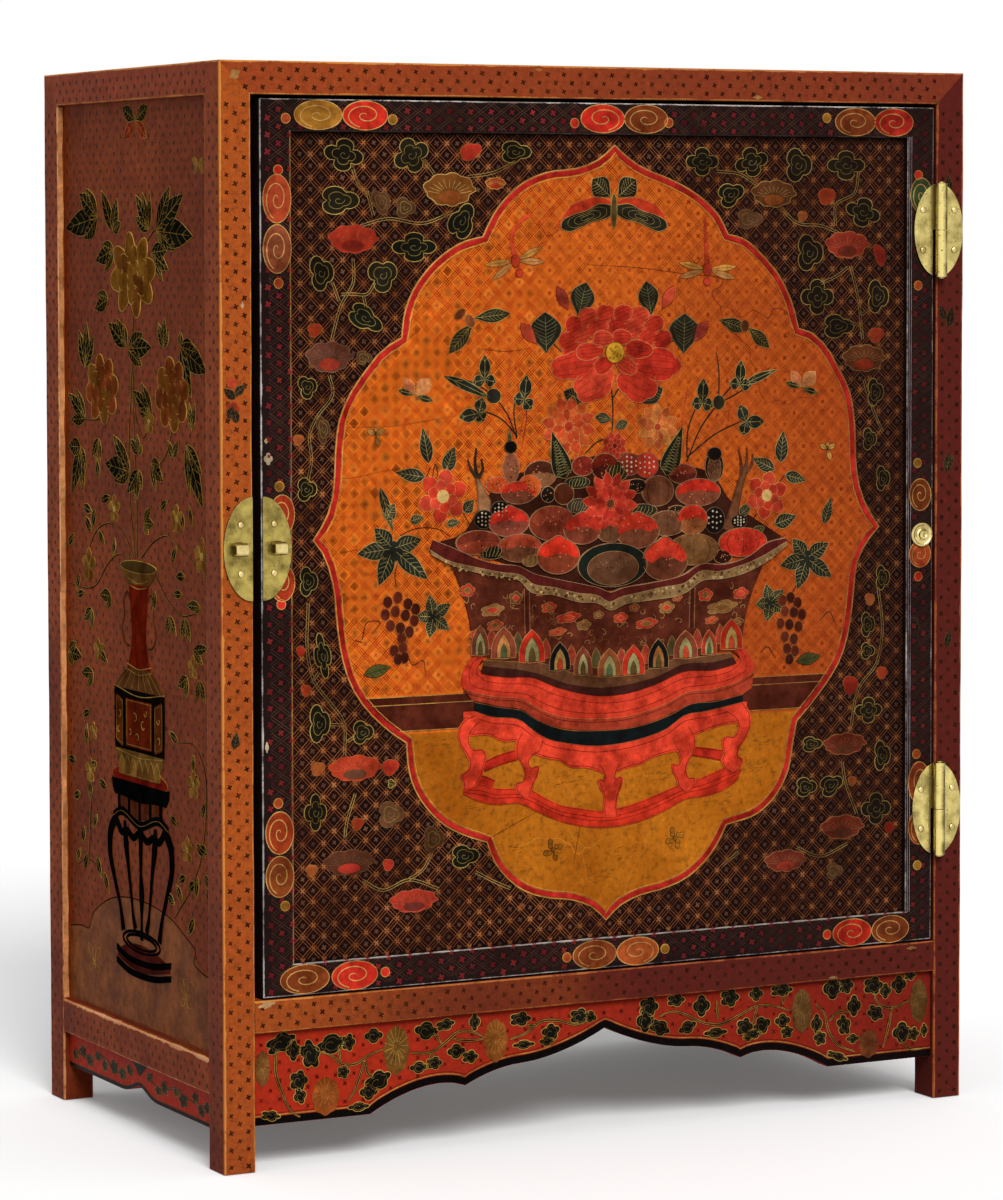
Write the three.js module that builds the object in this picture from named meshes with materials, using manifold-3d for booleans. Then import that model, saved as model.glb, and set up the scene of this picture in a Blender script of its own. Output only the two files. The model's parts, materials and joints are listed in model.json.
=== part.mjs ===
// A lacquered wooden cabinet. Four posts and their rails hold loose panels, and one framed door swings
// on two half-oval brass hinges and is held by a padlock through two staples.
import * as THREE from 'three';
import { mergeVertices } from 'three/addons/utils/BufferGeometryUtils.js';
import { ConvexGeometry } from 'three/addons/geometries/ConvexGeometry.js';
import Module from 'manifold-3d';

const wasm = await Module();
wasm.setup();

// Driving dimensions in millimetres. x runs right from the left side, y back from the front face, z up.
const cabinetWidth = 614;
const caseDepth = 330;
const cabinetHeight = 780;
const postWidth = 24;
const postDepth = 27;
const topRailHeight = 23.5;
const clearance = 0.3;
const overrun = 2;

// Bottom rails: the front and back pair carries the floor, the side pair lies lower
const crossRailBottom = 98;
const crossRailHeight = 23;
const crossRailDepth = 22;
const sideRailBottom = 53;
const sideRailHeight = 25;
const sideRailWidth = 20;
const tenonLength = 12;
const tenonThickness = 8;
const tenonShoulder = 6;
const topTenonSide = 8;
const topTenonCover = 5;

// Panels and boards
const panelRecess = 5;
const panelThickness = 6;
const grooveDepth = 5;
const topPanelThickness = 12;
const topTongueThickness = 6;
const floorThickness = 10;
const floorDrop = 4;
const shelfThickness = 9;
const shelfAboveFloor = 305;
const bearerHeight = 12;
const battenWidth = 32;
const battenHeight = 9;
const battenTenon = 6;
const battenShoulder = 2;

// Aprons
const apronThickness = 12;
const frontApronHeight = 66;
const sideApronHeight = 26;
const apronTongue = 4;
const apronTongueShoulder = 5;

// Door
const doorThickness = 18;
const doorGapLeft = 6.6;
const doorGapRight = 3;
const doorGapTop = 2.8;
const doorGapBottom = 1.8;
const stileWidth = 23;
const doorRailHeight = 22.6;
const doorPanelRecess = 5;
const doorPanelThickness = 6;
const doorTenonThickness = 6;
const doorTenonHeight = 8;
const doorTenonCover = 6;
const doorBattenWidth = 26;
const doorBattenSetback = 1;
const doorBattenTenon = 7;
const doorBattenShoulder = 1.2;
const doorBattenInset = 150;
const stopWidth = 12;
const stopGap = 0.5;

// Hinges
const knuckleRadius = 4.6;
const knuckleGap = 0.5;
const knuckleRelief = 0.9;
const pinRadius = 1.7;
const pinHeadRadius = 2.8;
const pinHeadHeight = 1.4;
const leafReach = 21.6;
const leafHalfHeight = 35.2;
const leafThickness = 1.2;
const axisPastArris = 1;
const hingeFromDoorTop = 92;
const hingeFromDoorBottom = 100;
const hingeNailAcross = 14;
const hingeNailUp = 15;

// Lock plates, staples, boss and nails
const plateReach = 22;
const plateHalfHeight = 36.5;
const plateThickness = 1.2;
const plateEdgeInset = 0.6;
const lockAboveDoorBottom = 317;
const stapleFromEdge = 11;
const stapleWidth = 9;
const stapleHeight = 9.4;
const stapleProud = 9.3;
const stapleWall = 1.7;
const stapleNoseRadius = 3.4;
const stapleLegWidth = 5;
const stapleLegLength = 10;
const plateNailFromEdge = 8.8;
const plateNailUp = 17.2;
const nailHeadRadius = 2.5;
const nailHeadHeight = 1.2;
const nailShankRadius = 0.9;
const nailShankLength = 9;
const bossRadius = 9.3;
const bossProud = 5.8;
const bossShankRadius = 2.2;
const bossShankLength = 10;
const bossFromDoorEdge = 10;
const bossAboveDoorBottom = 309;

// Facets on round pieces
const knuckleFacets = 24;
const pinFacets = 16;
const nailFacets = 10;
const bossFacets = 28;
const ovalSteps = 22;
const noseSteps = 5;
const outlineSteps = 7;

// Places worked out from the sizes
const seam = clearance / Math.SQRT2;
const topRailBottom = cabinetHeight - topRailHeight;
const crossRailTop = crossRailBottom + crossRailHeight;
const sideRailTop = sideRailBottom + sideRailHeight;
const floorTop = crossRailTop - floorDrop;
const floorBottom = floorTop - floorThickness;
const shelfBottom = floorTop + shelfAboveFloor;
const panelInner = panelRecess + panelThickness;
const doorLeft = postWidth + doorGapLeft;
const doorRight = cabinetWidth - postWidth - doorGapRight;
const doorBottom = crossRailTop + doorGapBottom;
const doorTop = topRailBottom - doorGapTop;
const axisX = cabinetWidth - postWidth + axisPastArris;
const axisProud = knuckleRadius + clearance;
const hardwareProud = Math.max(axisProud + knuckleRadius, stapleProud);
const lockHeight = doorBottom + lockAboveDoorBottom;
const upperHingeHeight = doorTop - hingeFromDoorTop;
const lowerHingeHeight = doorBottom + hingeFromDoorBottom;

// Solids from three.js geometry, which manifold joins and cuts
function solidOf(geometry) {
  const bare = geometry.clone();
  bare.deleteAttribute('normal');
  bare.deleteAttribute('uv');
  const merged = mergeVertices(bare);
  const index = merged.index.array;
  const triVerts = [];
  for (let i = 0; i < index.length; i += 3) {
    const [a, b, c] = index.slice(i, i + 3);
    if (a !== b && b !== c && c !== a) triVerts.push(a, b, c);
  }
  const vertProperties = new Float32Array(merged.attributes.position.array);
  return new wasm.Manifold(new wasm.Mesh({ numProp: 3, vertProperties, triVerts: new Uint32Array(triVerts) }));
}

function geometryOf(solid) {
  const mesh = solid.getMesh();
  const geometry = new THREE.BufferGeometry();
  geometry.setAttribute('position', new THREE.BufferAttribute(mesh.vertProperties, mesh.numProp));
  geometry.setIndex(new THREE.BufferAttribute(mesh.triVerts, 1));
  geometry.computeVertexNormals();
  return geometry;
}

const joined = (...solids) => solids.reduce((whole, solid) => whole.add(solid));
const carved = (solid, cutters) => cutters.reduce((rest, cutter) => rest.subtract(cutter), solid);

// A place is a box given by its spans along x, y and z
const centred = (middle, length) => [middle - length / 2, middle + length / 2];
const grown = ([low, high]) => [low - clearance, high + clearance];
const flippedX = ({ x, y, z }) => ({ x: [cabinetWidth - x[1], cabinetWidth - x[0]], y, z });
const flippedY = ({ x, y, z }) => ({ x, y: [caseDepth - y[1], caseDepth - y[0]], z });

function block({ x, y, z }) {
  const geometry = new THREE.BoxGeometry(x[1] - x[0], y[1] - y[0], z[1] - z[0]);
  geometry.translate((x[0] + x[1]) / 2, (y[0] + y[1]) / 2, (z[0] + z[1]) / 2);
  return solidOf(geometry);
}

// The room that a housed piece needs in what holds it
const roomFor = (...places) => places.map(({ x, y, z }) => block({ x: grown(x), y: grown(y), z: grown(z) }));

// Outlines drawn on the front (x, z) and extruded along y, or drawn on the side (y, z) and along x
function extruded(outline, depth, curveSegments) {
  return new THREE.ExtrudeGeometry(outline, { depth, bevelEnabled: false, curveSegments });
}

function frontBoard(outline, [front, back]) {
  const geometry = extruded(outline, back - front, ovalSteps);
  geometry.rotateX(Math.PI / 2);
  geometry.translate(0, back, 0);
  return solidOf(geometry);
}

function sideBoard(outline, [left, right]) {
  const geometry = extruded(outline, right - left, noseSteps);
  geometry.applyMatrix4(new THREE.Matrix4().makeBasis(
    new THREE.Vector3(0, 1, 0),
    new THREE.Vector3(0, 0, 1),
    new THREE.Vector3(1, 0, 0),
  ));
  geometry.translate(left, 0, 0);
  return solidOf(geometry);
}

const shapeOf = (points) => new THREE.Shape(points.map(([u, v]) => new THREE.Vector2(u, v)));

// A profile of radii and heights turned about the y axis, its first height at the front
function turned(profile, facets) {
  return solidOf(new THREE.LatheGeometry(profile.map(([r, y]) => new THREE.Vector2(r, y)), facets));
}

function rod(radius, [from, to], facets) {
  const geometry = new THREE.CylinderGeometry(radius, radius, to - from, facets);
  geometry.translate(0, (from + to) / 2, 0);
  return solidOf(geometry);
}

const upright = (solid) => solid.rotate([90, 0, 0]);

// Finishes
const finishes = {
  redLacquer: { color: 0x8f3a1e, roughness: 0.45, metalness: 0 },
  darkLacquer: { color: 0x2a1a18, roughness: 0.45, metalness: 0 },
  pictureLacquer: { color: 0xb4611f, roughness: 0.45, metalness: 0 },
  brownLacquer: { color: 0x6b3519, roughness: 0.5, metalness: 0 },
  apronLacquer: { color: 0xb8321f, roughness: 0.45, metalness: 0 },
  bareWood: { color: 0x8a6a48, roughness: 0.75, metalness: 0 },
  brass: { color: 0xbfa23f, roughness: 0.35, metalness: 1 },
};

const cabinet = new THREE.Group();
const carcase = new THREE.Group();
const door = new THREE.Group();
door.position.set(axisX, -axisProud, 0);
cabinet.add(carcase, door);
cabinet.position.set(-cabinetWidth / 2, -(caseDepth - hardwareProud) / 2, 0);

function addPiece(group, name, solid, finish) {
  const mesh = new THREE.Mesh(geometryOf(solid), new THREE.MeshStandardMaterial(finishes[finish]));
  mesh.name = name;
  mesh.position.copy(group.position).negate();
  group.add(mesh);
}

// Rails with a tenon at each end. The bar is the core that runs through the rail into both posts.
const crossTenon = {
  x: [postWidth - tenonLength, cabinetWidth - postWidth + tenonLength],
  y: centred(crossRailDepth / 2, tenonThickness),
  z: [crossRailBottom + tenonShoulder, crossRailTop - tenonShoulder],
};
const crossRail = {
  x: [postWidth + clearance, cabinetWidth - postWidth - clearance],
  y: [0, crossRailDepth],
  z: [crossRailBottom, crossRailTop],
};
const sideTenon = {
  x: centred(sideRailWidth / 2, tenonThickness),
  y: [postDepth - tenonLength, caseDepth - postDepth + tenonLength],
  z: [sideRailBottom + tenonShoulder, sideRailTop - tenonShoulder],
};
const sideRail = {
  x: [0, sideRailWidth],
  y: [postDepth + clearance, caseDepth - postDepth - clearance],
  z: [sideRailBottom, sideRailTop],
};

// Panels and boards, with the edges that stand in grooves
const sidePanel = {
  x: [panelRecess, panelInner],
  y: [postDepth - grooveDepth, caseDepth - postDepth + grooveDepth],
  z: [sideRailTop - grooveDepth, topRailBottom + grooveDepth],
};
const backPanel = {
  x: [postWidth - grooveDepth, cabinetWidth - postWidth + grooveDepth],
  y: [caseDepth - panelInner, caseDepth - panelRecess],
  z: [crossRailTop - grooveDepth, topRailBottom + grooveDepth],
};
const topPanel = {
  x: [postWidth + clearance, cabinetWidth - postWidth - clearance],
  y: [postDepth + clearance, caseDepth - postDepth - clearance],
  z: [cabinetHeight - topPanelThickness, cabinetHeight],
};
const topTongue = {
  x: [postWidth - grooveDepth, cabinetWidth - postWidth + grooveDepth],
  y: [postDepth - grooveDepth, caseDepth - postDepth + grooveDepth],
  z: [cabinetHeight - topPanelThickness, cabinetHeight - topPanelThickness + topTongueThickness],
};
const betweenPosts = [postWidth + clearance, cabinetWidth - postWidth - clearance];
const betweenPanels = [panelInner + clearance, cabinetWidth - panelInner - clearance];
const behindPosts = [postDepth + clearance, caseDepth - postDepth - clearance];
const floorEdge = {
  x: betweenPosts,
  y: [crossRailDepth - grooveDepth, caseDepth - crossRailDepth + grooveDepth],
  z: [floorBottom, floorTop],
};
const shelfEdge = {
  x: betweenPosts,
  y: [postDepth + clearance, caseDepth - panelInner - clearance],
  z: [shelfBottom, shelfBottom + shelfThickness],
};

// Battens across the top panel and the floor, tenoned into the long rails
function batten(top, [railFront, railBack]) {
  const body = {
    x: centred(cabinetWidth / 2, battenWidth),
    y: [railFront + clearance, railBack - clearance],
    z: [top - battenHeight, top],
  };
  const tenon = {
    x: body.x,
    y: [railFront - battenTenon, railBack + battenTenon],
    z: [body.z[0] + battenShoulder, top - battenShoulder],
  };
  return { body, tenon };
}
const topBatten = batten(topPanel.z[0] - clearance, [postDepth, caseDepth - postDepth]);
const floorBatten = batten(floorBottom - clearance, [crossRailDepth, caseDepth - crossRailDepth]);

// Apron tongues stand in the posts
const frontApronSpan = [crossRailBottom - clearance - frontApronHeight, crossRailBottom - clearance];
const sideApronSpan = [sideRailBottom - clearance - sideApronHeight, sideRailBottom - clearance];
const frontTongue = {
  x: [postWidth - apronTongue, postWidth + apronTongue],
  y: [panelRecess, panelRecess + apronThickness],
  z: [frontApronSpan[0] + apronTongueShoulder, frontApronSpan[1] - apronTongueShoulder],
};
const sideTongue = {
  x: [panelRecess, panelRecess + apronThickness],
  y: [postDepth - apronTongue, postDepth + apronTongue],
  z: [sideApronSpan[0] + apronTongueShoulder, sideApronSpan[1] - apronTongueShoulder],
};

// Nails stand square to the front, and the staples' legs pass through the plates into the wood
const nailSeat = -clearance - Math.max(leafThickness, plateThickness) - clearance;
const nailTip = nailSeat + nailShankLength;
const hingeNails = [];
for (const height of [upperHingeHeight, lowerHingeHeight]) {
  for (const up of [hingeNailUp, -hingeNailUp]) hingeNails.push(height + up);
}
const postPlateEdge = postWidth - plateEdgeInset;
const doorPlateEdge = doorLeft + plateEdgeInset;
const plateNails = [lockHeight + plateNailUp, lockHeight - plateNailUp];

function nailHoles(x, heights) {
  const hole = [nailSeat - nailHeadHeight, nailTip + clearance];
  return heights.map((z) => rod(nailShankRadius + clearance, hole, nailFacets).translate([x, 0, z]));
}

function stapleLegs(x) {
  const leg = {
    x: centred(x, stapleLegWidth),
    y: [nailSeat - clearance, stapleLegLength],
  };
  return [1, -1].map((side) => {
    const ends = [lockHeight + side * (stapleHeight / 2 - stapleWall), lockHeight + (side * stapleHeight) / 2];
    return { ...leg, z: ends.sort((low, high) => low - high) };
  });
}

// Posts: the top is a pyramid that meets both top rails in mitres on its three faces, with a tenon above
const topTenon = {
  x: centred(postWidth / 2, topTenonSide),
  y: centred(postDepth / 2, topTenonSide),
  z: [topRailBottom, cabinetHeight - topTenonCover],
};
const topTenons = [topTenon, flippedX(topTenon), flippedY(topTenon), flippedX(flippedY(topTenon))];

function hullFromCorner(points, right, back) {
  const place = ([x, y, drop]) => new THREE.Vector3(
    right ? cabinetWidth - x : x,
    back ? caseDepth - y : y,
    cabinetHeight - drop,
  );
  return points.map(place);
}

function post(right, back) {
  const ends = [cabinetHeight, topRailHeight + seam];
  const points = ends.flatMap((drop) => [
    [0, 0, drop],
    [postWidth, 0, drop],
    [postWidth, postDepth, drop],
    [0, postDepth, drop],
  ]);
  const shaft = solidOf(new ConvexGeometry(hullFromCorner([...points, [0, 0, seam]], right, back)));
  const sideways = (place) => (right ? flippedX(place) : place);
  const turnedBack = (place) => (back ? flippedY(place) : place);
  const housed = [crossTenon, frontTongue].map(turnedBack);
  housed.push(sideTenon, sidePanel);
  housed.push(turnedBack(sideTongue));
  if (back) housed.push(backPanel);
  const rooms = roomFor(...housed.map(sideways));
  return carved(joined(shaft, block(sideways(turnedBack(topTenon)))), rooms);
}

addPiece(
  carcase,
  'post_front_left',
  carved(post(false, false), [
    ...nailHoles(postPlateEdge - plateNailFromEdge, plateNails),
    ...roomFor(...stapleLegs(postPlateEdge - stapleFromEdge)),
  ]),
  'redLacquer',
);
addPiece(
  carcase,
  'post_front_right',
  carved(post(true, false), nailHoles(axisX + hingeNailAcross, hingeNails)),
  'redLacquer',
);
addPiece(carcase, 'post_back_left', post(false, true), 'redLacquer');
addPiece(carcase, 'post_back_right', post(true, true), 'redLacquer');

// Top rails: each end is a pyramid that runs out at the cabinet's corner
function topRail(alongX, far) {
  const [start, width] = alongX ? [postWidth, postDepth] : [postDepth, postWidth];
  const end = [
    [seam, 0, 0],
    [start + seam, 0, 0],
    [start + seam, width, 0],
    [start + seam, 0, topRailHeight],
    [start + seam, width, topRailHeight],
  ];
  const points = end.map(([run, across, drop]) => (alongX ? [run, across, drop] : [across, run, drop]));
  const nearEnd = hullFromCorner(points, !alongX && far, alongX && far);
  const farEnd = hullFromCorner(points, alongX || far, !alongX || far);
  const rail = solidOf(new ConvexGeometry([...nearEnd, ...farEnd]));
  const panels = [topTongue, sidePanel, flippedX(sidePanel), backPanel];
  return carved(rail, roomFor(...topTenons, ...panels, topBatten.tenon));
}

addPiece(carcase, 'rail_top_front', topRail(true, false), 'redLacquer');
addPiece(carcase, 'rail_top_back', topRail(true, true), 'redLacquer');
addPiece(carcase, 'rail_top_left', topRail(false, false), 'redLacquer');
addPiece(carcase, 'rail_top_right', topRail(false, true), 'redLacquer');

// Bottom rails
const crossRailWhole = joined(block(crossRail), block(crossTenon));
const crossRooms = [floorEdge, floorBatten.tenon];
const sideRailWhole = carved(joined(block(sideRail), block(sideTenon)), roomFor(sidePanel));
const toRight = (solid) => solid.mirror([1, 0, 0]).translate([cabinetWidth, 0, 0]);
const toBack = (solid) => solid.mirror([0, 1, 0]).translate([0, caseDepth, 0]);

addPiece(carcase, 'rail_bottom_front', carved(crossRailWhole, roomFor(...crossRooms)), 'redLacquer');
addPiece(
  carcase,
  'rail_bottom_back',
  carved(toBack(crossRailWhole), roomFor(...crossRooms, backPanel)),
  'redLacquer',
);
addPiece(carcase, 'rail_bottom_left', sideRailWhole, 'redLacquer');
addPiece(carcase, 'rail_bottom_right', toRight(sideRailWhole), 'redLacquer');

// Panels, boards, battens and bearers
addPiece(carcase, 'panel_left', block(sidePanel), 'brownLacquer');
addPiece(carcase, 'panel_right', block(flippedX(sidePanel)), 'brownLacquer');
addPiece(carcase, 'panel_back', block(backPanel), 'darkLacquer');
addPiece(carcase, 'panel_top', joined(block(topPanel), block(topTongue)), 'redLacquer');
addPiece(carcase, 'batten_top', joined(block(topBatten.body), block(topBatten.tenon)), 'bareWood');
addPiece(carcase, 'batten_floor', joined(block(floorBatten.body), block(floorBatten.tenon)), 'bareWood');

const wideBoard = (edge) => block({ x: betweenPanels, y: behindPosts, z: edge.z });
addPiece(carcase, 'panel_floor', joined(block(floorEdge), wideBoard(floorEdge)), 'bareWood');
addPiece(carcase, 'shelf', joined(block(shelfEdge), wideBoard(shelfEdge)), 'bareWood');

function bearer(boardBottom) {
  const top = boardBottom - clearance;
  return block({
    x: [panelInner + clearance, postWidth - clearance],
    y: behindPosts,
    z: [top - bearerHeight, top],
  });
}
addPiece(carcase, 'bearer_floor_left', bearer(floorBottom), 'bareWood');
addPiece(carcase, 'bearer_floor_right', toRight(bearer(floorBottom)), 'bareWood');
addPiece(carcase, 'bearer_shelf_left', bearer(shelfBottom), 'bareWood');
addPiece(carcase, 'bearer_shelf_right', toRight(bearer(shelfBottom)), 'bareWood');

const doorStop = {
  x: [postWidth + clearance, postWidth + clearance + stopWidth],
  y: [doorThickness + stopGap, postDepth],
  z: [crossRailTop + clearance, topRailBottom - clearance],
};
addPiece(carcase, 'door_stop', block(doorStop), 'darkLacquer');

// Aprons: the lower edge is drawn from the left post to the middle and mirrored. Points are shares of
// the half span and of the apron's height. The front has two cusps and a peak, the side one small point.
const frontApronShares = [
  { line: [0.323, 0] },
  { curve: [[0.409, 0.209], [0.515, 0.343], [0.593, 0.209]] },
  { curve: [[0.632, 0.291], [0.693, 0.388], [0.757, 0.396]] },
  { curve: [[0.835, 0.41], [0.934, 0.552], [1, 0.7]] },
];
const sideApronShares = [
  { line: [0.76, 0] },
  { curve: [[0.88, 0.02], [0.93, 0.26], [1, 0.28]] },
];

function apronOutline(shares, [start, end], [bottom, top]) {
  const halfSpan = (end - start) / 2;
  const at = ([across, rise]) => [start + across * halfSpan, bottom + rise * (top - bottom)];
  const half = new THREE.Path();
  half.moveTo(start, bottom);
  for (const { line, curve } of shares) {
    if (line) half.lineTo(...at(line));
    else half.bezierCurveTo(...curve.flatMap(at));
  }
  const lower = half.getPoints(outlineSteps);
  const mirrored = lower.slice(0, -1).reverse().map(({ x, y }) => new THREE.Vector2(start + end - x, y));
  return new THREE.Shape([
    ...lower,
    ...mirrored,
    new THREE.Vector2(end, top),
    new THREE.Vector2(start, top),
  ]);
}

function frontApron(shares) {
  const board = frontBoard(apronOutline(shares, betweenPosts, frontApronSpan), frontTongue.y);
  return joined(board, block(frontTongue), block(flippedX(frontTongue)));
}

function sideApron(shares) {
  const board = sideBoard(apronOutline(shares, behindPosts, sideApronSpan), sideTongue.x);
  return joined(board, block(sideTongue), block(flippedY(sideTongue)));
}

addPiece(carcase, 'apron_front', frontApron(frontApronShares), 'apronLacquer');
addPiece(carcase, 'apron_back', toBack(frontApron(frontApronShares)), 'darkLacquer');
addPiece(carcase, 'apron_left', sideApron(sideApronShares), 'apronLacquer');
addPiece(carcase, 'apron_right', toRight(sideApron(sideApronShares)), 'apronLacquer');

// Door frame: stiles and rails meet in mitres with a hidden tenon, round a panel in grooves
const doorPanel = {
  x: [doorLeft + stileWidth - grooveDepth, doorRight - stileWidth + grooveDepth],
  y: [doorPanelRecess, doorPanelRecess + doorPanelThickness],
  z: [doorBottom + doorRailHeight - grooveDepth, doorTop - doorRailHeight + grooveDepth],
};
const doorTenonY = centred(doorThickness / 2, doorTenonThickness);
const doorTenonX = [doorLeft + doorTenonCover, doorRight - doorTenonCover];
const lowerDoorTenon = {
  x: doorTenonX,
  y: doorTenonY,
  z: centred(doorBottom + doorRailHeight / 2, doorTenonHeight),
};
const upperDoorTenon = {
  x: doorTenonX,
  y: doorTenonY,
  z: centred(doorTop - doorRailHeight / 2, doorTenonHeight),
};

function doorBatten(height) {
  const body = {
    x: [doorLeft + stileWidth + clearance, doorRight - stileWidth - clearance],
    y: [doorPanel.y[1] + clearance, doorThickness - doorBattenSetback],
    z: centred(height, doorBattenWidth),
  };
  const tenon = {
    x: [doorLeft + stileWidth - doorBattenTenon, doorRight - stileWidth + doorBattenTenon],
    y: [body.y[0] + doorBattenShoulder, body.y[1] - doorBattenShoulder],
    z: [body.z[0] + battenShoulder, body.z[1] - battenShoulder],
  };
  return { body, tenon };
}
const upperBatten = doorBatten(doorTop - doorBattenInset);
const lowerBatten = doorBatten(doorBottom + doorBattenInset);

const doorMiddleX = (doorLeft + doorRight) / 2;
const doorMiddleZ = (doorBottom + doorTop) / 2;
const acrossDoor = (solid) => solid.mirror([1, 0, 0]).translate([2 * doorMiddleX, 0, 0]);
const downDoor = (solid) => solid.mirror([0, 0, 1]).translate([0, 0, 2 * doorMiddleZ]);

const stileOutline = shapeOf([
  [doorLeft, doorBottom + seam],
  [doorLeft + stileWidth, doorBottom + doorRailHeight + seam],
  [doorLeft + stileWidth, doorTop - doorRailHeight - seam],
  [doorLeft, doorTop - seam],
]);
const stileRooms = roomFor(doorPanel, lowerDoorTenon, upperDoorTenon, upperBatten.tenon, lowerBatten.tenon);
const stileBlank = frontBoard(stileOutline, [0, doorThickness]);
const doorNailHoles = nailHoles(axisX - hingeNailAcross, hingeNails);
const bossPlace = [doorRight - bossFromDoorEdge, 0, doorBottom + bossAboveDoorBottom];
const bossHole = rod(bossShankRadius + clearance, [-overrun, bossShankLength + clearance], bossFacets);

addPiece(
  door,
  'door_stile_left',
  carved(stileBlank, [
    ...stileRooms,
    ...nailHoles(doorPlateEdge + plateNailFromEdge, plateNails),
    ...roomFor(...stapleLegs(doorPlateEdge + stapleFromEdge)),
  ]),
  'darkLacquer',
);
addPiece(
  door,
  'door_stile_right',
  carved(acrossDoor(stileBlank), [...stileRooms, ...doorNailHoles, bossHole.translate(bossPlace)]),
  'darkLacquer',
);

const doorRailOutline = shapeOf([
  [doorLeft + seam, doorBottom],
  [doorRight - seam, doorBottom],
  [doorRight - stileWidth - seam, doorBottom + doorRailHeight],
  [doorLeft + stileWidth + seam, doorBottom + doorRailHeight],
]);
const doorRail = carved(
  joined(frontBoard(doorRailOutline, [0, doorThickness]), block(lowerDoorTenon)),
  roomFor(doorPanel),
);
addPiece(door, 'door_rail_bottom', doorRail, 'darkLacquer');
addPiece(door, 'door_rail_top', downDoor(doorRail), 'darkLacquer');
addPiece(door, 'door_panel', block(doorPanel), 'pictureLacquer');
addPiece(door, 'door_batten_upper', joined(block(upperBatten.body), block(upperBatten.tenon)), 'bareWood');
addPiece(door, 'door_batten_lower', joined(block(lowerBatten.body), block(lowerBatten.tenon)), 'bareWood');

// Half-oval plates: side is 1 for one that reaches right of its straight edge and -1 for left
function halfOval(edge, height, reach, halfHeight, thickness, side) {
  const outline = new THREE.Shape();
  const start = (-side * Math.PI) / 2;
  outline.absellipse(edge, height, reach, halfHeight, start, start + Math.PI, false);
  return frontBoard(outline, [-clearance - thickness, -clearance]);
}

// A leaf carries one knuckle and is cut back beside the other leaf's
function hingeLeaf(height, side) {
  const upper = side < 0;
  const knuckleSpan = upper
    ? [height + knuckleGap / 2, height + leafHalfHeight]
    : [height - leafHalfHeight, height - knuckleGap / 2];
  const relief = knuckleRadius + knuckleRelief;
  const cutBack = {
    x: [axisX - relief, axisX + relief],
    y: [-clearance - leafThickness - overrun, overrun],
    z: upper
      ? [height - leafHalfHeight - overrun, height + knuckleGap / 2]
      : [height - knuckleGap / 2, height + leafHalfHeight + overrun],
  };
  const leaf = halfOval(axisX, height, leafReach, leafHalfHeight, leafThickness, side).subtract(block(cutBack));
  const barrel = upright(rod(knuckleRadius, knuckleSpan, knuckleFacets)).translate([axisX, -axisProud, 0]);
  const boreSpan = [height - leafHalfHeight - overrun, height + leafHalfHeight + overrun];
  const bore = upright(rod(pinRadius + clearance, boreSpan, knuckleFacets)).translate([axisX, -axisProud, 0]);
  return carved(joined(leaf, barrel), [bore, ...nailHoles(axisX + side * hingeNailAcross, hingeNails)]);
}

// Both ends of a pin are domed just past the knuckles. Shares are of the head's radius and height.
const domeShares = [[1, 0], [0.94, 0.45], [0.7, 0.8], [0.35, 0.96], [0, 1]];

function hingePin(height) {
  const end = leafHalfHeight + clearance;
  const head = domeShares.map(([r, h]) => [r * pinHeadRadius, end + h * pinHeadHeight]);
  const upperEnd = [[pinRadius, end], ...head];
  const lowerEnd = upperEnd.map(([r, h]) => [r, -h]).reverse();
  return upright(turned([...lowerEnd, ...upperEnd], pinFacets)).translate([axisX, -axisProud, height]);
}

// A nail: the dome of its head stands in front of the plate and its shank tapers into the wood
function nail() {
  const head = [...domeShares].reverse().map(([r, h]) => [r * nailHeadRadius, nailSeat - h * nailHeadHeight]);
  const shank = [[nailShankRadius, nailSeat], [nailShankRadius, nailTip - nailShankRadius], [0, nailTip]];
  return turned([...head, ...shank], nailFacets);
}

for (const [name, height] of [['upper', upperHingeHeight], ['lower', lowerHingeHeight]]) {
  addPiece(carcase, `hinge_${name}_post_leaf`, hingeLeaf(height, 1), 'brass');
  addPiece(door, `hinge_${name}_door_leaf`, hingeLeaf(height, -1), 'brass');
  addPiece(carcase, `hinge_${name}_pin`, hingePin(height), 'brass');
  for (const [place, up] of [['top', hingeNailUp], ['low', -hingeNailUp]]) {
    const seated = (side) => nail().translate([axisX + side * hingeNailAcross, 0, height + up]);
    addPiece(carcase, `nail_hinge_${name}_post_${place}`, seated(1), 'brass');
    addPiece(door, `nail_hinge_${name}_door_${place}`, seated(-1), 'brass');
  }
}

// A staple is a strap bent to a loop. Its two narrower legs pass through the plate.
function loopSection(depth, halfHeight, radius, legEnd) {
  const outline = new THREE.Shape();
  outline.moveTo(legEnd, -halfHeight);
  outline.lineTo(legEnd, halfHeight);
  outline.lineTo(-depth + radius, halfHeight);
  outline.absarc(-depth + radius, halfHeight - radius, radius, Math.PI / 2, Math.PI, false);
  outline.absarc(-depth + radius, -halfHeight + radius, radius, Math.PI, (3 * Math.PI) / 2, false);
  outline.lineTo(legEnd, -halfHeight);
  return outline;
}

function staple(x) {
  const half = stapleHeight / 2;
  const seat = nailSeat;
  const loop = sideBoard(loopSection(stapleProud, half, stapleNoseRadius, seat), centred(x, stapleWidth));
  const legs = sideBoard(
    loopSection(stapleProud, half, stapleNoseRadius, stapleLegLength),
    centred(x, stapleLegWidth),
  );
  const eye = sideBoard(
    loopSection(
      stapleProud - stapleWall,
      half - stapleWall,
      stapleNoseRadius - stapleWall,
      stapleLegLength + overrun,
    ),
    centred(x, stapleWidth + 2 * overrun),
  );
  return joined(loop, legs).subtract(eye).translate([0, 0, lockHeight]);
}

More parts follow.
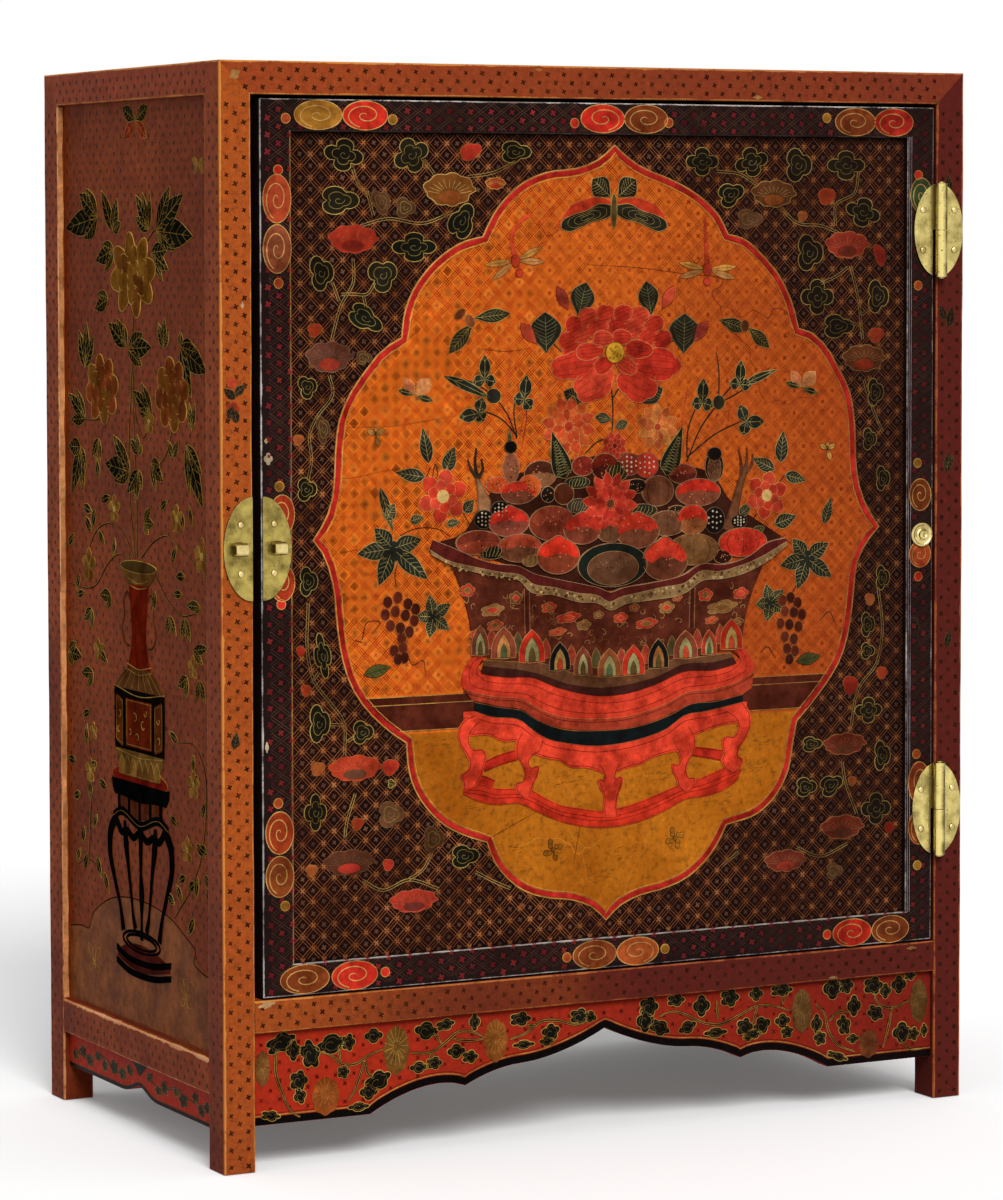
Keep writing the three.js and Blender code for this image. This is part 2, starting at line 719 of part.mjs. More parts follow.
function lockPlate(edge, side) {
  const plate = halfOval(edge, lockHeight, plateReach, plateHalfHeight, plateThickness, side);
  return carved(plate, [
    ...nailHoles(edge + side * plateNailFromEdge, plateNails),
    ...roomFor(...stapleLegs(edge + side * stapleFromEdge)),
  ]);
}

for (const [name, group, edge, side] of [['post', carcase, postPlateEdge, -1], ['door', door, doorPlateEdge, 1]]) {
  addPiece(group, `lock_plate_${name}`, lockPlate(edge, side), 'brass');
  addPiece(group, `staple_${name}`, staple(edge + side * stapleFromEdge), 'brass');
  for (const [place, height] of [['top', plateNails[0]], ['low', plateNails[1]]]) {
    const seated = nail().translate([edge + side * plateNailFromEdge, 0, height]);
    addPiece(group, `nail_lock_${name}_${place}`, seated, 'brass');
  }
}

// A turned boss on the door's right stile. Shares are of its radius and of how far it stands proud.
const bossShares = [
  [0, 0.86],
  [0.1, 0.88],
  [0.19, 1],
  [0.34, 0.97],
  [0.4, 0.84],
  [0.4, 0.42],
  [0.52, 0.3],
  [0.74, 0.28],
  [0.84, 0.36],
  [0.95, 0.33],
  [1, 0.2],
  [1, 0.08],
];
const bossFront = bossShares.map(([r, h]) => [r * bossRadius, -clearance - h * (bossProud - clearance)]);
const bossBack = [
  [bossRadius, -clearance],
  [bossShankRadius, -clearance],
  [bossShankRadius, bossShankLength],
  [0, bossShankLength],
];
addPiece(door, 'door_boss', turned([...bossFront, ...bossBack], bossFacets).translate(bossPlace), 'brass');

export default cabinet;
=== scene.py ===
import json
import math
import bpy
import numpy as np
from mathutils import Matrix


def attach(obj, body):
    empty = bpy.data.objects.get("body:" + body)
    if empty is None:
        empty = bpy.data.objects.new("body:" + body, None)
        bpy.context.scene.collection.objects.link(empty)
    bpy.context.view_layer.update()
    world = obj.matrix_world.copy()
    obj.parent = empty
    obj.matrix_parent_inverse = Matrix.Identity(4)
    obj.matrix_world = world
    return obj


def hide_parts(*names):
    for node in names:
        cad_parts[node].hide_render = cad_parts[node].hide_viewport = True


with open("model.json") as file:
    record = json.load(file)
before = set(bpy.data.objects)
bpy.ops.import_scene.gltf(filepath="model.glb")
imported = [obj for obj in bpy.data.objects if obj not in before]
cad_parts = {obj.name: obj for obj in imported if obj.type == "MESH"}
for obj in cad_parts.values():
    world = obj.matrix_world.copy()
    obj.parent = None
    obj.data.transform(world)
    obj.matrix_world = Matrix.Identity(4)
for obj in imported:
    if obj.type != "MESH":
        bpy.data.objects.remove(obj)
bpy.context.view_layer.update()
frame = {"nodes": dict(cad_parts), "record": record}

mm = 0.001
chance = np.random.default_rng(11)
link = bpy.context.scene.collection.objects.link

# Camera at the photograph's angle, with its place in metres and its turns in degrees
eye = {"lens": 130.62, "place": (-1.5233, -2.9334, 0.6573), "yaw": 27.381, "down": 3.199, "roll": 0.097,
       "shift": -0.10, "far": 100}
lensData = bpy.data.cameras.new("studio_camera")
lensData.lens, lensData.shift_y, lensData.clip_end = eye["lens"], eye["shift"], eye["far"]
camera = bpy.data.objects.new("studio_camera", lensData)
link(camera)
camera.location = eye["place"]
camera.rotation_euler = [math.radians(turn) for turn in (90 - eye["down"], eye["roll"], -eye["yaw"])]
bpy.context.scene.camera = camera

# Sizes of the case and the door, as in the part: x from the left side, y back from the front face, z up.
# The frame's own origin lies in the middle of the width, and "ahead" is how far the front face is before it.
case = {"wide": 614, "deep": 330, "tall": 780, "ahead": 160.25, "post": (24, 27, 23.5), "pictureZero": 306.4}
door = {"low": (30.6, 122.8), "high": (587.0, 753.7), "thick": 18, "stile": 23, "rail": 22.6}
wide, deep, tall, ahead = case["wide"], case["deep"], case["tall"], case["ahead"]
sides = (("left", -1), ("right", 1))


def linearColour(code):
    # sRGB hex to linear light: c / 12.92 up to 0.04045, else ((c + 0.055) / 1.055) ^ 2.4
    parts = np.array([int(code[i:i + 2], 16) for i in (0, 2, 4)]) / 255
    light = np.where(parts <= 0.04045, parts / 12.92, ((parts + 0.055) / 1.055) ** 2.4)
    return (*light.tolist(), 1.0)


def scaleOf(size):
    return round(1000 / size)  # a pattern's scale from the size of its parts in mm


def newTree(owner):
    # Empties the nodes of a material or world and returns the one function that adds a node with its
    # settings and links. A link's source is a node, a node with an output's name, or a plain value.
    owner.use_nodes = True
    tree = owner.node_tree
    tree.nodes.clear()

    def add(kind, links, **settings):
        node = tree.nodes.new("ShaderNode" + kind)
        for name, value in settings.items():
            setattr(node, name, value)
        for entry, source in links.items():
            named = isinstance(source, tuple) and isinstance(source[0], bpy.types.Node)
            start, output = source if named else (source, 0)
            if isinstance(start, bpy.types.Node):
                tree.links.new(start.outputs[output], node.inputs[entry])
            else:
                node.inputs[entry].default_value = source
        return node
    return add


def shine(add, relief, sockets):
    # Ends a material: its surface rises with a pattern, as strongly and as far in mm as relief says
    height, strength, rise = relief
    bump = add("Bump", {"Strength": strength, "Distance": rise * mm, "Height": height})
    add("OutputMaterial", {"Surface": add("BsdfPrincipled", {**sockets, "Normal": bump})})


# What a lacquer has where its own line doesn't say otherwise: sizes in mm, amounts from 0 to 1
usual = {"clouds": 71, "grit": 0.5, "cracks": 0.5, "crackCell": 77, "crack": "2a120a", "low": 0,
         "sideways": 0, "paleRim": 0.3, "dull": 0.2, "rough": 0.42, "shine": 0.02, "stain": "1c0c08"}
rimGain, fleckGain = (1.5, 1.25, 1.05, 1), (1.5, 1.36, 1.15, 1)  # thin lacquer pales towards orange


def lacquer(name, **own):
    # Lacquer over wood: two tones blended by soft clouds, a finer mottle, hair cracks and worn arrises, and,
    # where its line asks for it, painted shade towards the cabinet's right and on faces that look sideways
    look = {**usual, **own}
    material = bpy.data.materials.new(name)
    add = newTree(material)
    surface = add("TexCoord", {})
    place = surface, "Object"
    soft = {"Vector": place, "Scale": scaleOf(look["clouds"]), "Detail": 5, "Roughness": 0.62}
    clouds = add("TexNoise", soft)
    mottle = add("TexNoise", {"Vector": place, "Scale": scaleOf(5), "Detail": 6, "Roughness": 0.74})
    spread = add("MapRange", {0: clouds, 1: 0.36, 2: 0.64})
    # Painted shade: the tone darkens from the cabinet's left to its right, as the light falls off across it
    if "fade" in look:  # one tone at the cabinet's left runs to the other at its right
        along = add("SeparateXYZ", {0: place})
        run = add("MapRange", {0: along, 1: look["fade"][0], 2: look["fade"][1], 3: -0.25, 4: 0.95})
        # Darker towards the bottom
        lowDark = add("MapRange", {0: (along, "Z"), 2: 0.45, 3: look["low"], 4: 0})
        # Painted shade on the faces that look sideways, along x
        facing = add("Math", {0: add("SeparateXYZ", {0: (surface, "Normal")})}, operation="ABSOLUTE")
        turned = add("MapRange", {0: facing, 1: 0.6, 2: 0.9, 4: look["sideways"]})
        for more in (lowDark, turned):  # darker near the ground and on the faces that look sideways
            run = add("Math", {0: run, 1: more}, operation="ADD")
        uneven = add("Math", {0: spread, 1: 0.3}, operation="MULTIPLY")
        spread = add("Math", {0: run, 1: uneven}, operation="ADD", use_clamp=True)
    if "light" in look:
        colour, layers = linearColour(look["light"]), [(spread, linearColour(look["dark"]), "MIX")]
    else:  # each painted shape carries its own colour, paled at its rim and dulled towards the right
        colour = add("Attribute", {}, attribute_name="tint"), "Color"
        rim = add("Attribute", {}, attribute_name="rim"), "Fac"
        darker = {0: 1.0, 6: colour, 7: linearColour("b0a49a")}
        darker = add("Mix", darker, data_type="RGBA", blend_type="MULTIPLY"), 2
        edge = add("MapRange", {0: rim, 1: 0.35, 4: look["paleRim"]})
        # Painted shade: each shape darkens towards the cabinet's right, as the light falls off
        dull = add("MapRange", {0: add("SeparateXYZ", {0: place}), 1: -0.04, 2: 0.28, 4: look["dull"]})
        layers = [(spread, darker, "MIX"), (edge, rimGain, "MULTIPLY"), (dull, linearColour("1c0c0a"), "MIX")]
    grit = add("MapRange", {0: mottle, 1: 0.5, 2: 0.72, 4: look["grit"]})
    flecks = add("MapRange", {0: mottle, 1: 0.3, 2: 0.44, 3: 1, 4: 0})  # paler specks, never on black
    # Hair cracks run where two cells of a warped cell pattern meet, and fade in and out
    warp = add("TexNoise", {"Vector": place, "Scale": scaleOf(111), "Detail": 3})
    bent = add("Mix", {0: 0.16, 4: place, 5: (warp, "Color")}, data_type="VECTOR"), 1
    cells = {"Vector": bent, "Scale": scaleOf(look["crackCell"])}
    meeting = add("TexVoronoi", cells, feature="DISTANCE_TO_EDGE")
    thin = add("MapRange", {0: meeting, 1: 0.0012, 2: 0.0042, 3: 1, 4: 0})
    broken = add("MapRange", {0: warp, 1: 0.5, 2: 0.6, 4: look["cracks"]})
    crack = add("Math", {0: thin, 1: broken}, operation="MULTIPLY")
    layers += [(grit, linearColour(look["stain"]), "MIX"), (flecks, fleckGain, "MULTIPLY"),
               (crack, linearColour(look["crack"]), "MIX")]
    if "worn" in look:  # a timber's arris is rubbed through to the ground below
        arris, wear = [(add("Attribute", {}, attribute_name=label), "Fac") for label in ("arris", "wear")]
        patchy = add("TexNoise", {"Vector": place, "Scale": scaleOf(14.3), "Detail": 6, "Roughness": 0.75})
        reach = add("MapRange", {0: patchy, 1: 0.4, 2: 0.72, 3: 0.35, 4: 3.6})
        reach = add("Math", {0: reach, 1: wear}, operation="MULTIPLY")
        reach = add("Math", {0: reach, 1: arris}, operation="SUBTRACT")
        ground = {0: spread, 6: linearColour(look["worn"]), 7: linearColour(look["wornToo"])}
        ground = add("Mix", ground, data_type="RGBA"), 2
        layers.append((add("MapRange", {0: reach, 2: 0.7, 4: 0.9}), ground, "MIX"))
    for share, over, how in layers:
        colour = add("Mix", {0: share, 6: colour, 7: over}, data_type="RGBA", blend_type=how), 2
    sheen = add("MapRange", {0: mottle, 1: 0.3, 2: 0.7, 3: look["rough"] - 0.08, 4: look["rough"] + 0.12})
    dips = add("Math", {0: mottle, 1: crack}, operation="SUBTRACT")
    shine(add, (dips, 0.25, 0.3),
          {"Base Color": colour, "Roughness": sheen, "IOR": 1.5, "Specular IOR Level": look["shine"]})
    return material


def bareWood(name, along):
    # Planed softwood: rings cut lengthwise show as long soft bands with fine darker pores
    material = bpy.data.materials.new(name)
    add = newTree(material)
    place = add("TexCoord", {}), "Object"
    drawn = add("Mapping", {"Vector": place, "Scale": [0.06 if way == along else 1.0 for way in range(3)]})
    bands = add("TexNoise", {"Vector": drawn, "Scale": scaleOf(18.2), "Detail": 3, "Distortion": 0.6})
    pores = add("TexNoise", {"Vector": drawn, "Scale": scaleOf(1.613), "Detail": 3, "Roughness": 0.7})
    soil = add("TexNoise", {"Vector": place, "Scale": scaleOf(91), "Detail": 5, "Roughness": 0.6})
    colour = linearColour("a07c52")
    for pattern, low, high, most, over in (
            (bands, 0.35, 0.65, 1, "7d5a38"), (pores, 0.52, 0.7, 0.5, "4a3220"),
            (soil, 0.45, 0.7, 0.55, "5a4028")):
        share = add("MapRange", {0: pattern, 1: low, 2: high, 4: most})
        colour = add("Mix", {0: share, 6: colour, 7: linearColour(over)}, data_type="RGBA"), 2
    shine(add, (pores, 0.4, 0.4), {"Base Color": colour, "Roughness": 0.72, "IOR": 1.5})
    return material


def sheetBrass(name, bright, tarnishAndShade, rough):
    # Hammered brass with brown tarnish in soft patches, dark specks and fine scratches, and painted light and
    # shade: brighter on faces turned towards the front left, darker on faces turned away
    material = bpy.data.materials.new(name)
    add = newTree(material)
    surface = add("TexCoord", {})
    place = surface, "Object"
    stretch = add("Mapping", {"Vector": place, "Scale": (1, 1, 0.12), "Rotation": (0, 0.5, 0)})
    scratch = add("TexNoise", {"Vector": stretch, "Scale": scaleOf(1.111), "Detail": 3})
    patches = add("TexNoise", {"Vector": place, "Scale": scaleOf(13.3), "Detail": 6, "Roughness": 0.68})
    specks = add("TexNoise", {"Vector": place, "Scale": scaleOf(2.38), "Detail": 2})
    tone = add("MapRange", {0: patches, 1: 0.36, 2: 0.66, 4: 0.75})
    # Painted highlight and painted shade: faces turned towards the front left are brightened, faces turned
    # away darkened
    facing = add("VectorMath", {0: (surface, "Normal"), 1: (-0.6, -0.8, 0.0)}, operation="DOT_PRODUCT")
    turned = add("MapRange", {0: (facing, "Value"), 1: 0.45, 2: 0.98, 3: 0.75, 4: -0.3})
    tone = add("Math", {0: tone, 1: turned}, operation="ADD", use_clamp=True)
    spots = add("MapRange", {0: specks, 1: 0.66, 2: 0.72, 4: 0.7})
    colour = linearColour(bright)
    for share, over in ((tone, tarnishAndShade), (spots, "3a2c14")):
        colour = add("Mix", {0: share, 6: colour, 7: linearColour(over)}, data_type="RGBA"), 2
    sheen = add("MapRange", {0: patches, 1: 0.35, 2: 0.7, 3: rough, 4: rough + 0.3})
    waves = add("Math", {0: scratch, 1: patches}, operation="ADD")
    shine(add, (waves, 0.35, 0.4), {"Base Color": colour, "Metallic": 1.0, "Roughness": sheen})
    return material


materials = {
    # brushed on softwood and rubbed by handling: satin and uneven, golden where the arris is worn through,
    # darker towards the ground, with painted shade towards the right and on the faces that look sideways
    "caseLacquer": lacquer(
        "brushed_red_brown_lacquer", light="ac5220", dark="58201a", stain="4a1c10", clouds=100,
        rough=0.44, worn="d88c40", wornToo="a85a30", cracks=0.35, grit=0.7, fade=(-0.31, 0.22), low=0.4,
        sideways=0.55),
    # the same on the top frame, where dusting has rubbed it evenly, with painted shade towards the right and
    # on the faces that look sideways
    "topLacquer": lacquer(
        "rubbed_red_lacquer", light="9c4420", dark="7c3420", stain="4a1c10", clouds=100, fade=(-0.31, 0.3),
        rough=0.44, worn="d88c40", wornToo="b06a38", cracks=0.35, grit=0.6, sideways=0.6),
    # the same on the back posts and side rails, whose arrises are rubbed pale
    "backLacquer": lacquer(
        "rubbed_brown_lacquer", light="944420", dark="702c16", stain="421a0e", clouds=100, rough=0.46,
        worn="f0b482", wornToo="c8804c", cracks=0.35, grit=0.6),
    # thin brown coats on the side panels: soft clouds and no shine
    "sideLacquer": lacquer(
        "brushed_brown_lacquer", light="883c16", dark="6a2a10", stain="36150a", clouds=125, rough=0.5,
        cracks=0.4, grit=0.7),
    # deep black on the door's frame, with a pale ground showing along its arrises
    "doorLacquer": lacquer(
        "black_lacquer", light="231614", dark="180f0f", stain="2c1610", worn="dcd4cc", wornToo="84746c",
        cracks=0.3, crack="4a342a"),
    # near black maroon behind the scrolls: quiet, with pale hair cracks
    "groundLacquer": lacquer(
        "maroon_lacquer", light="200e0b", dark="140a0a", stain="0a0707", cracks=0.3, crack="3c2a22"),
    # orange filled into the picture's ground: gritty and much cracked, redder and darker to the right as
    # painted shade, and darker low down
    "pictureGround": lacquer(
        "orange_lacquer", light="e4721e", dark="a84a1a", stain="8c2c10", clouds=111, fade=(-0.22, 0.24),
        low=0.6, grit=0.85, cracks=0.8, crackCell=125, crack="5a2010"),
    # ochre of the painted floor: gritty, with bright cracks
    "floorLacquer": lacquer(
        "ochre_lacquer", light="c0701a", dark="9a500c", stain="5c300c", clouds=100, grit=0.8, crack="d89840"),
    # brushed vermilion on the aprons, with painted shade darkening it towards the right
    "apronLacquer": lacquer(
        "vermilion_lacquer", light="a82c18", dark="782016", stain="441410", clouds=83, rough=0.44, cracks=0.4,
        fade=(-0.3, 0.36)),
    # one dull coat on the back and the hidden strips
    "plainLacquer": lacquer(
        "dull_dark_lacquer", light="3c2218", dark="2a1813", stain="170e0b", clouds=200, rough=0.5),
    # colours filled into cut lacquer and polished flush, each shape a little domed and pale at its rim, with
    # painted shade towards the right
    "filledLacquer": lacquer("filled_colour_lacquer", clouds=16.7, rough=0.38, cracks=0.2),
    # marks and scrolls take more painted shade towards the right
    "markLacquer": lacquer("mark_colour_lacquer", clouds=33, cracks=0, paleRim=0, dull=0.5),  # brushed flat
    "scrollLacquer": lacquer("scroll_colour_lacquer", clouds=25, rough=0.4, cracks=0.2, dull=0.55),
    "sideColours": lacquer(  # thin brushed colours with no shine, so that black stays black at a low angle
        "side_colour_lacquer", stain="140a06", clouds=16.7, grit=0.4, rough=0.45, cracks=0.2, shine=0.0),
    # planed softwood inside: bands along the board, brown with age
    "woodAcross": bareWood("planed_softwood_across", 0),
    "woodDeep": bareWood("planed_softwood_deep", 1),
    # beaten sheet: brown tarnish in soft patches, with painted highlight on faces turned towards the front
    # left and painted shade on faces turned away
    "hingeBrass": sheetBrass("rubbed_and_shaded_sheet_brass", "e8d484", "5c4a1e", 0.22),
    "brass": sheetBrass("hammered_sheet_brass", "c4ae5c", "34250f", 0.22),
    "wornAndShadedBrass": sheetBrass("rubbed_and_shaded_cast_brass", "ead490", "806830", 0.2),  # staples, pins and nails
}
print("materials made")


def addPiece(name, points, faces, material, body, slot, values):
    # A mesh from whole arrays, with its own values at its points
    mesh = bpy.data.meshes.new(name)
    mesh.vertices.add(len(points))
    mesh.vertices.foreach_set("co", np.ascontiguousarray(points * mm, np.float32).ravel())
    mesh.loops.add(faces.size)
    mesh.loops.foreach_set("vertex_index", np.ascontiguousarray(faces, np.int32).ravel())
    mesh.polygons.add(len(faces))
    mesh.polygons.foreach_set("loop_start", np.arange(0, faces.size, 3, dtype=np.int32))
    mesh.polygons.foreach_set("use_smooth", np.ones(len(faces), bool))
    for label, column in values.items():
        kind, entry = ("FLOAT_COLOR", "color") if column.ndim == 2 else ("FLOAT", "value")
        attribute = mesh.attributes.new(label, kind, "POINT")
        attribute.data.foreach_set(entry, column.astype(np.float32).ravel())
    mesh.update(calc_edges=True)
    mesh.validate()
    mesh.set_sharp_from_angle(angle=math.radians(38))  # tops stay flat up to their walls
    piece = bpy.data.objects.new(name, mesh)
    link(piece)
    mesh.materials.append(materials[material])
    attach(piece, body)
    return piece


def skin(rings, first, last):
    # Closed solids from rings of points: point c of ring r joins point c + 1 and ring r + 1, and a fan closes
    # each end on its pole. rings is (solid, ring, point, 3). A solid that came inside out is turned round.
    number, rows, columns, _ = rings.shape
    points = np.concatenate([rings.reshape(number, rows * columns, 3), first[:, None], last[:, None]], 1)
    row, column = np.meshgrid(np.arange(rows - 1), np.arange(columns), indexing="ij")
    a = (row * columns + column).ravel()
    b = (row * columns + (column + 1) % columns).ravel()
    ring = np.arange(columns)
    after = (ring + 1) % columns
    top = (rows - 1) * columns
    faces = np.concatenate([
        np.stack([a, b, b + columns], 1), np.stack([a, b + columns, a + columns], 1),
        np.stack([after, ring, np.full(columns, rows * columns)], 1),
        np.stack([top + ring, top + after, np.full(columns, rows * columns + 1)], 1),
    ])
    corners = points[:, faces]
    volume = np.einsum("nti,nti->n", corners[:, :, 0], np.cross(corners[:, :, 1], corners[:, :, 2]))
    faces = np.repeat(faces[None], number, 0)
    faces[volume < 0] = faces[volume < 0][..., ::-1]
    return points, faces


sunk = -0.3  # how deep every painted solid goes into the face that it lies on


def stacked(outlines):
    # One outline or several, as an array (solid, point, 2)
    outlines = np.asarray(outlines, float)
    return outlines[None] if outlines.ndim == 2 else outlines


def raised(flat, tops):
    # Flat rings (solid, ring, point, 2) with a height for each ring or each of its points
    return np.concatenate([flat, np.broadcast_to(tops[..., None], flat.shape[:3] + (1,))], -1)


def poles(flat, height):
    # The points at which the fans end, one for each solid, all at one height
    return np.concatenate([flat, np.full((len(flat), 1), height)], 1)


def blot(outlines, height, base=0.0, crown=0.6, middle=None):
    # A filled shape: at share s from its middle to its rim, its top stands at
    # base + height * (1 + crown * (1 - s * s)), and its wall goes down into the ground
    outlines = stacked(outlines)
    middle = outlines.mean(1) if middle is None else np.broadcast_to(middle, (len(outlines), 2))
    shares = np.array([1.0, 1.0, 0.72, 0.36])
    flat = middle[:, None, None] + (outlines - middle[:, None])[:, None] * shares[None, :, None, None]
    tops = base + height * (1 + crown * (1 - shares ** 2))
    tops[0] = sunk
    points, faces = skin(raised(flat, tops[:, None]), poles(middle, sunk),
        poles(middle, base + height * (1 + crown)))
    return points, faces, np.concatenate([np.repeat(shares, outlines.shape[1]), [0, 0]])


def ribbon(paths, width, height, base=0.0, ends=(1.0, 1.0)):
    # A raised line: a low four-cornered section carried along each path, as wide at its ends as ends says
    paths = stacked(paths)
    along = np.gradient(paths, axis=1)
    along /= np.maximum(np.linalg.norm(along, axis=-1, keepdims=True), 1e-9)
    if paths.shape[1] > 3 and np.allclose(paths[:, 0], paths[:, -1]):  # a closed line's ends meet
        seam = paths[:, 1] - paths[:, -2]
        along[:, 0] = along[:, -1] = seam / np.linalg.norm(seam, axis=-1, keepdims=True)
    left = np.stack([-along[..., 1], along[..., 0]], -1)
    swell = np.interp(np.linspace(0, 1, paths.shape[1]), [0, 0.25, 0.75, 1], [ends[0], 1, 1, ends[1]])
    across = np.array([1, 0.55, -0.55, -1]) * width / 2
    flat = paths[:, :, None] + left[:, :, None] * (swell[:, None] * across)[None, :, :, None]
    rings = raised(flat, np.array([sunk, base + height, base + height, sunk]))
    points, faces = skin(rings, *(poles(paths[:, at], (base + height) / 2) for at in (0, -1)))
    return points, faces, np.full(points.shape[1], 0.5)


def band(left, right, height, base=0.0, crown=0.3):
    # A strip between two curves with as many points each, its top crowned across from one to the other
    left, right = stacked(left), stacked(right)
    shares = np.array([0, 0, 0.5, 1, 1])
    flat = left[:, :, None] * (1 - shares)[:, None] + right[:, :, None] * shares[:, None]
    rings = raised(flat, np.array([sunk, base + height, base + height * (1 + crown), base + height, sunk]))
    points, faces = skin(rings, *(poles((left[:, at] + right[:, at]) / 2, base) for at in (0, -1)))
    return points, faces, np.full(points.shape[1], 0.6)


def curve(points, steps=16):
    # A smooth line through points given as u,v, u,v: cubic pieces whose slopes are the mean slopes there
    points = np.array(points, float).reshape(-1, 2)
    if len(points) == 2:
        return points[0] + (points[1] - points[0]) * np.linspace(0, 1, steps)[:, None]
    s = np.concatenate([[0], np.cumsum(np.linalg.norm(np.diff(points, axis=0), axis=1))])
    slope = np.gradient(points, s, axis=0)
    at = np.linspace(0, s[-1], steps)
    i = np.clip(np.searchsorted(s, at, side="right") - 1, 0, len(s) - 2)
    gap = (s[i + 1] - s[i])[:, None]
    t = ((at - s[i]) / gap[:, 0])[:, None]
    start, end = points[i], points[i + 1]
    return (start * (1 + 2 * t) * (1 - t) ** 2 + slope[i] * gap * t * (1 - t) ** 2
            + end * t * t * (3 - 2 * t) + slope[i + 1] * gap * t * t * (t - 1))


def besides(path, distance):
    # How far each point of a path moves when the path is shifted to its left by a distance
    along = np.gradient(path, axis=0)
    along = along / np.linalg.norm(along, axis=1, keepdims=True)
    return distance * np.stack([-along[:, 1], along[:, 0]], 1)


def polar(radius, steps=24):
    # A closed outline r(angle), anticlockwise
    angle = np.arange(steps) / steps * 2 * np.pi
    return np.stack([np.cos(angle), np.sin(angle)], 1) * radius(angle)[:, None]


def oval(steps):
    return polar(lambda angle: np.full(steps, 0.5), steps)  # r = 1 / 2


def ruffled(lobes, depth, steps=32):
    # A rounded outline with lobes: r = (1 - depth + depth * |cos(lobes * angle / 2)| ^ 0.7) / 2
    return polar(lambda a: 0.5 * (1 - depth + depth * np.abs(np.cos(lobes * a / 2)) ** 0.7), steps)


def leafShape(bend=0.0, fat=0.75, steps=9):
    # A pointed leaf from (0, 0) to (1, 0): half width sin(pi * t ^ fat) / 2, its middle line bowed by bend
    t = np.linspace(0, 1, steps)
    half = np.sin(np.pi * t ** fat) / 2
    bow = bend * 4 * t * (1 - t)
    right, left = np.stack([t, bow - half], 1), np.stack([t, bow + half], 1)[::-1]
    return np.concatenate([right[:-1], left[:-1]])


def placed(outline, rows, turn=0.0):
    # One outline set down at each row's u, v, length, width and, where the row has it, turn in degrees
    if isinstance(rows, list):
        rows = np.array([(*row, turn)[:5] for row in rows], float)
    turns = np.radians(rows[:, 4:5])
    x, y = outline[None, :, 0] * rows[:, 2:3], outline[None, :, 1] * rows[:, 3:4]
    return np.stack([rows[:, 0:1] + x * np.cos(turns) - y * np.sin(turns),
                     rows[:, 1:2] + x * np.sin(turns) + y * np.cos(turns)], -1)


def resized(rows, across, high):
    # The same rows with their widths and heights multiplied
    return [(u, v, w * across, h * high, *turn) for u, v, w, h, *turn in rows]


def closed(outlines):
    # Each outline with its first point again at its end
    outlines = stacked(outlines)
    return np.concatenate([outlines, outlines[:, :1]], 1)


def newPens(number):
    # A pen gathers the solids of one piece: points, faces, and the colour and rim share of each point
    return [{"points": [], "faces": [], "tint": [], "rim": [], "size": 0} for _ in range(number)]


def lay(pen, shape, colours):
    # Adds solids to a pen, each with the next of the colours in a string
    points, faces, rim = shape
    number, size, _ = points.shape
    shades = np.array([linearColour(code) for code in colours.split()])
    shades = shades[np.arange(number) % len(shades)]
    shades[:, :3] *= chance.uniform(0.86, 1.12, (number, 1))
    starts = pen["size"] + np.arange(number)[:, None, None] * size
    pen["points"].append(points.reshape(-1, 3))
    pen["faces"].append((faces + starts).reshape(-1, 3))
    pen["tint"].append(np.repeat(shades, size, 0))
    pen["rim"].append(np.tile(rim, number))
    pen["size"] += number * size


# Faces that carry ornament: where u = v = 0 lies, which way u, v and the height out of the face go, the body
# that the face belongs to, and the slot of what is painted on it
def frontFace(left, depth, body, slot):
    return np.array([-left, depth - ahead, 0]), np.array([[1, 0, 0], [0, 0, 1], [0, -1, 0]]), body, slot


def sideFace(side, inset, slot):
    return (np.array([side * (wide / 2 - inset), -ahead, 0]), np.array([[0, 1, 0], [0, 0, 1], [side, 0, 0]]),
            "case", slot)


caseFront = frontFace(wide / 2, 0, "case", "red_lacquer")
doorFace = frontFace(case["pictureZero"], 0, "door", "dark_lacquer")
panelFace = frontFace(case["pictureZero"], 5, "door", "picture_lacquer")
topFace = np.array([-wide / 2, -ahead, tall]), np.eye(3, dtype=int), "case", "red_lacquer"


def finishPen(pen, name, face, material):
    # Puts the pen's solids on a face. A face whose u, v and outward ways are left-handed turns them round.
    origin, ways, body, slot = face
    faces = np.concatenate(pen["faces"])
    if np.linalg.det(ways) < 0:
        faces = faces[:, ::-1]
    points = origin + np.concatenate(pen["points"]) @ ways
    values = {label: np.concatenate(pen[label]) for label in ("tint", "rim")}
    addPiece(name, points, faces, material, body, slot, values)


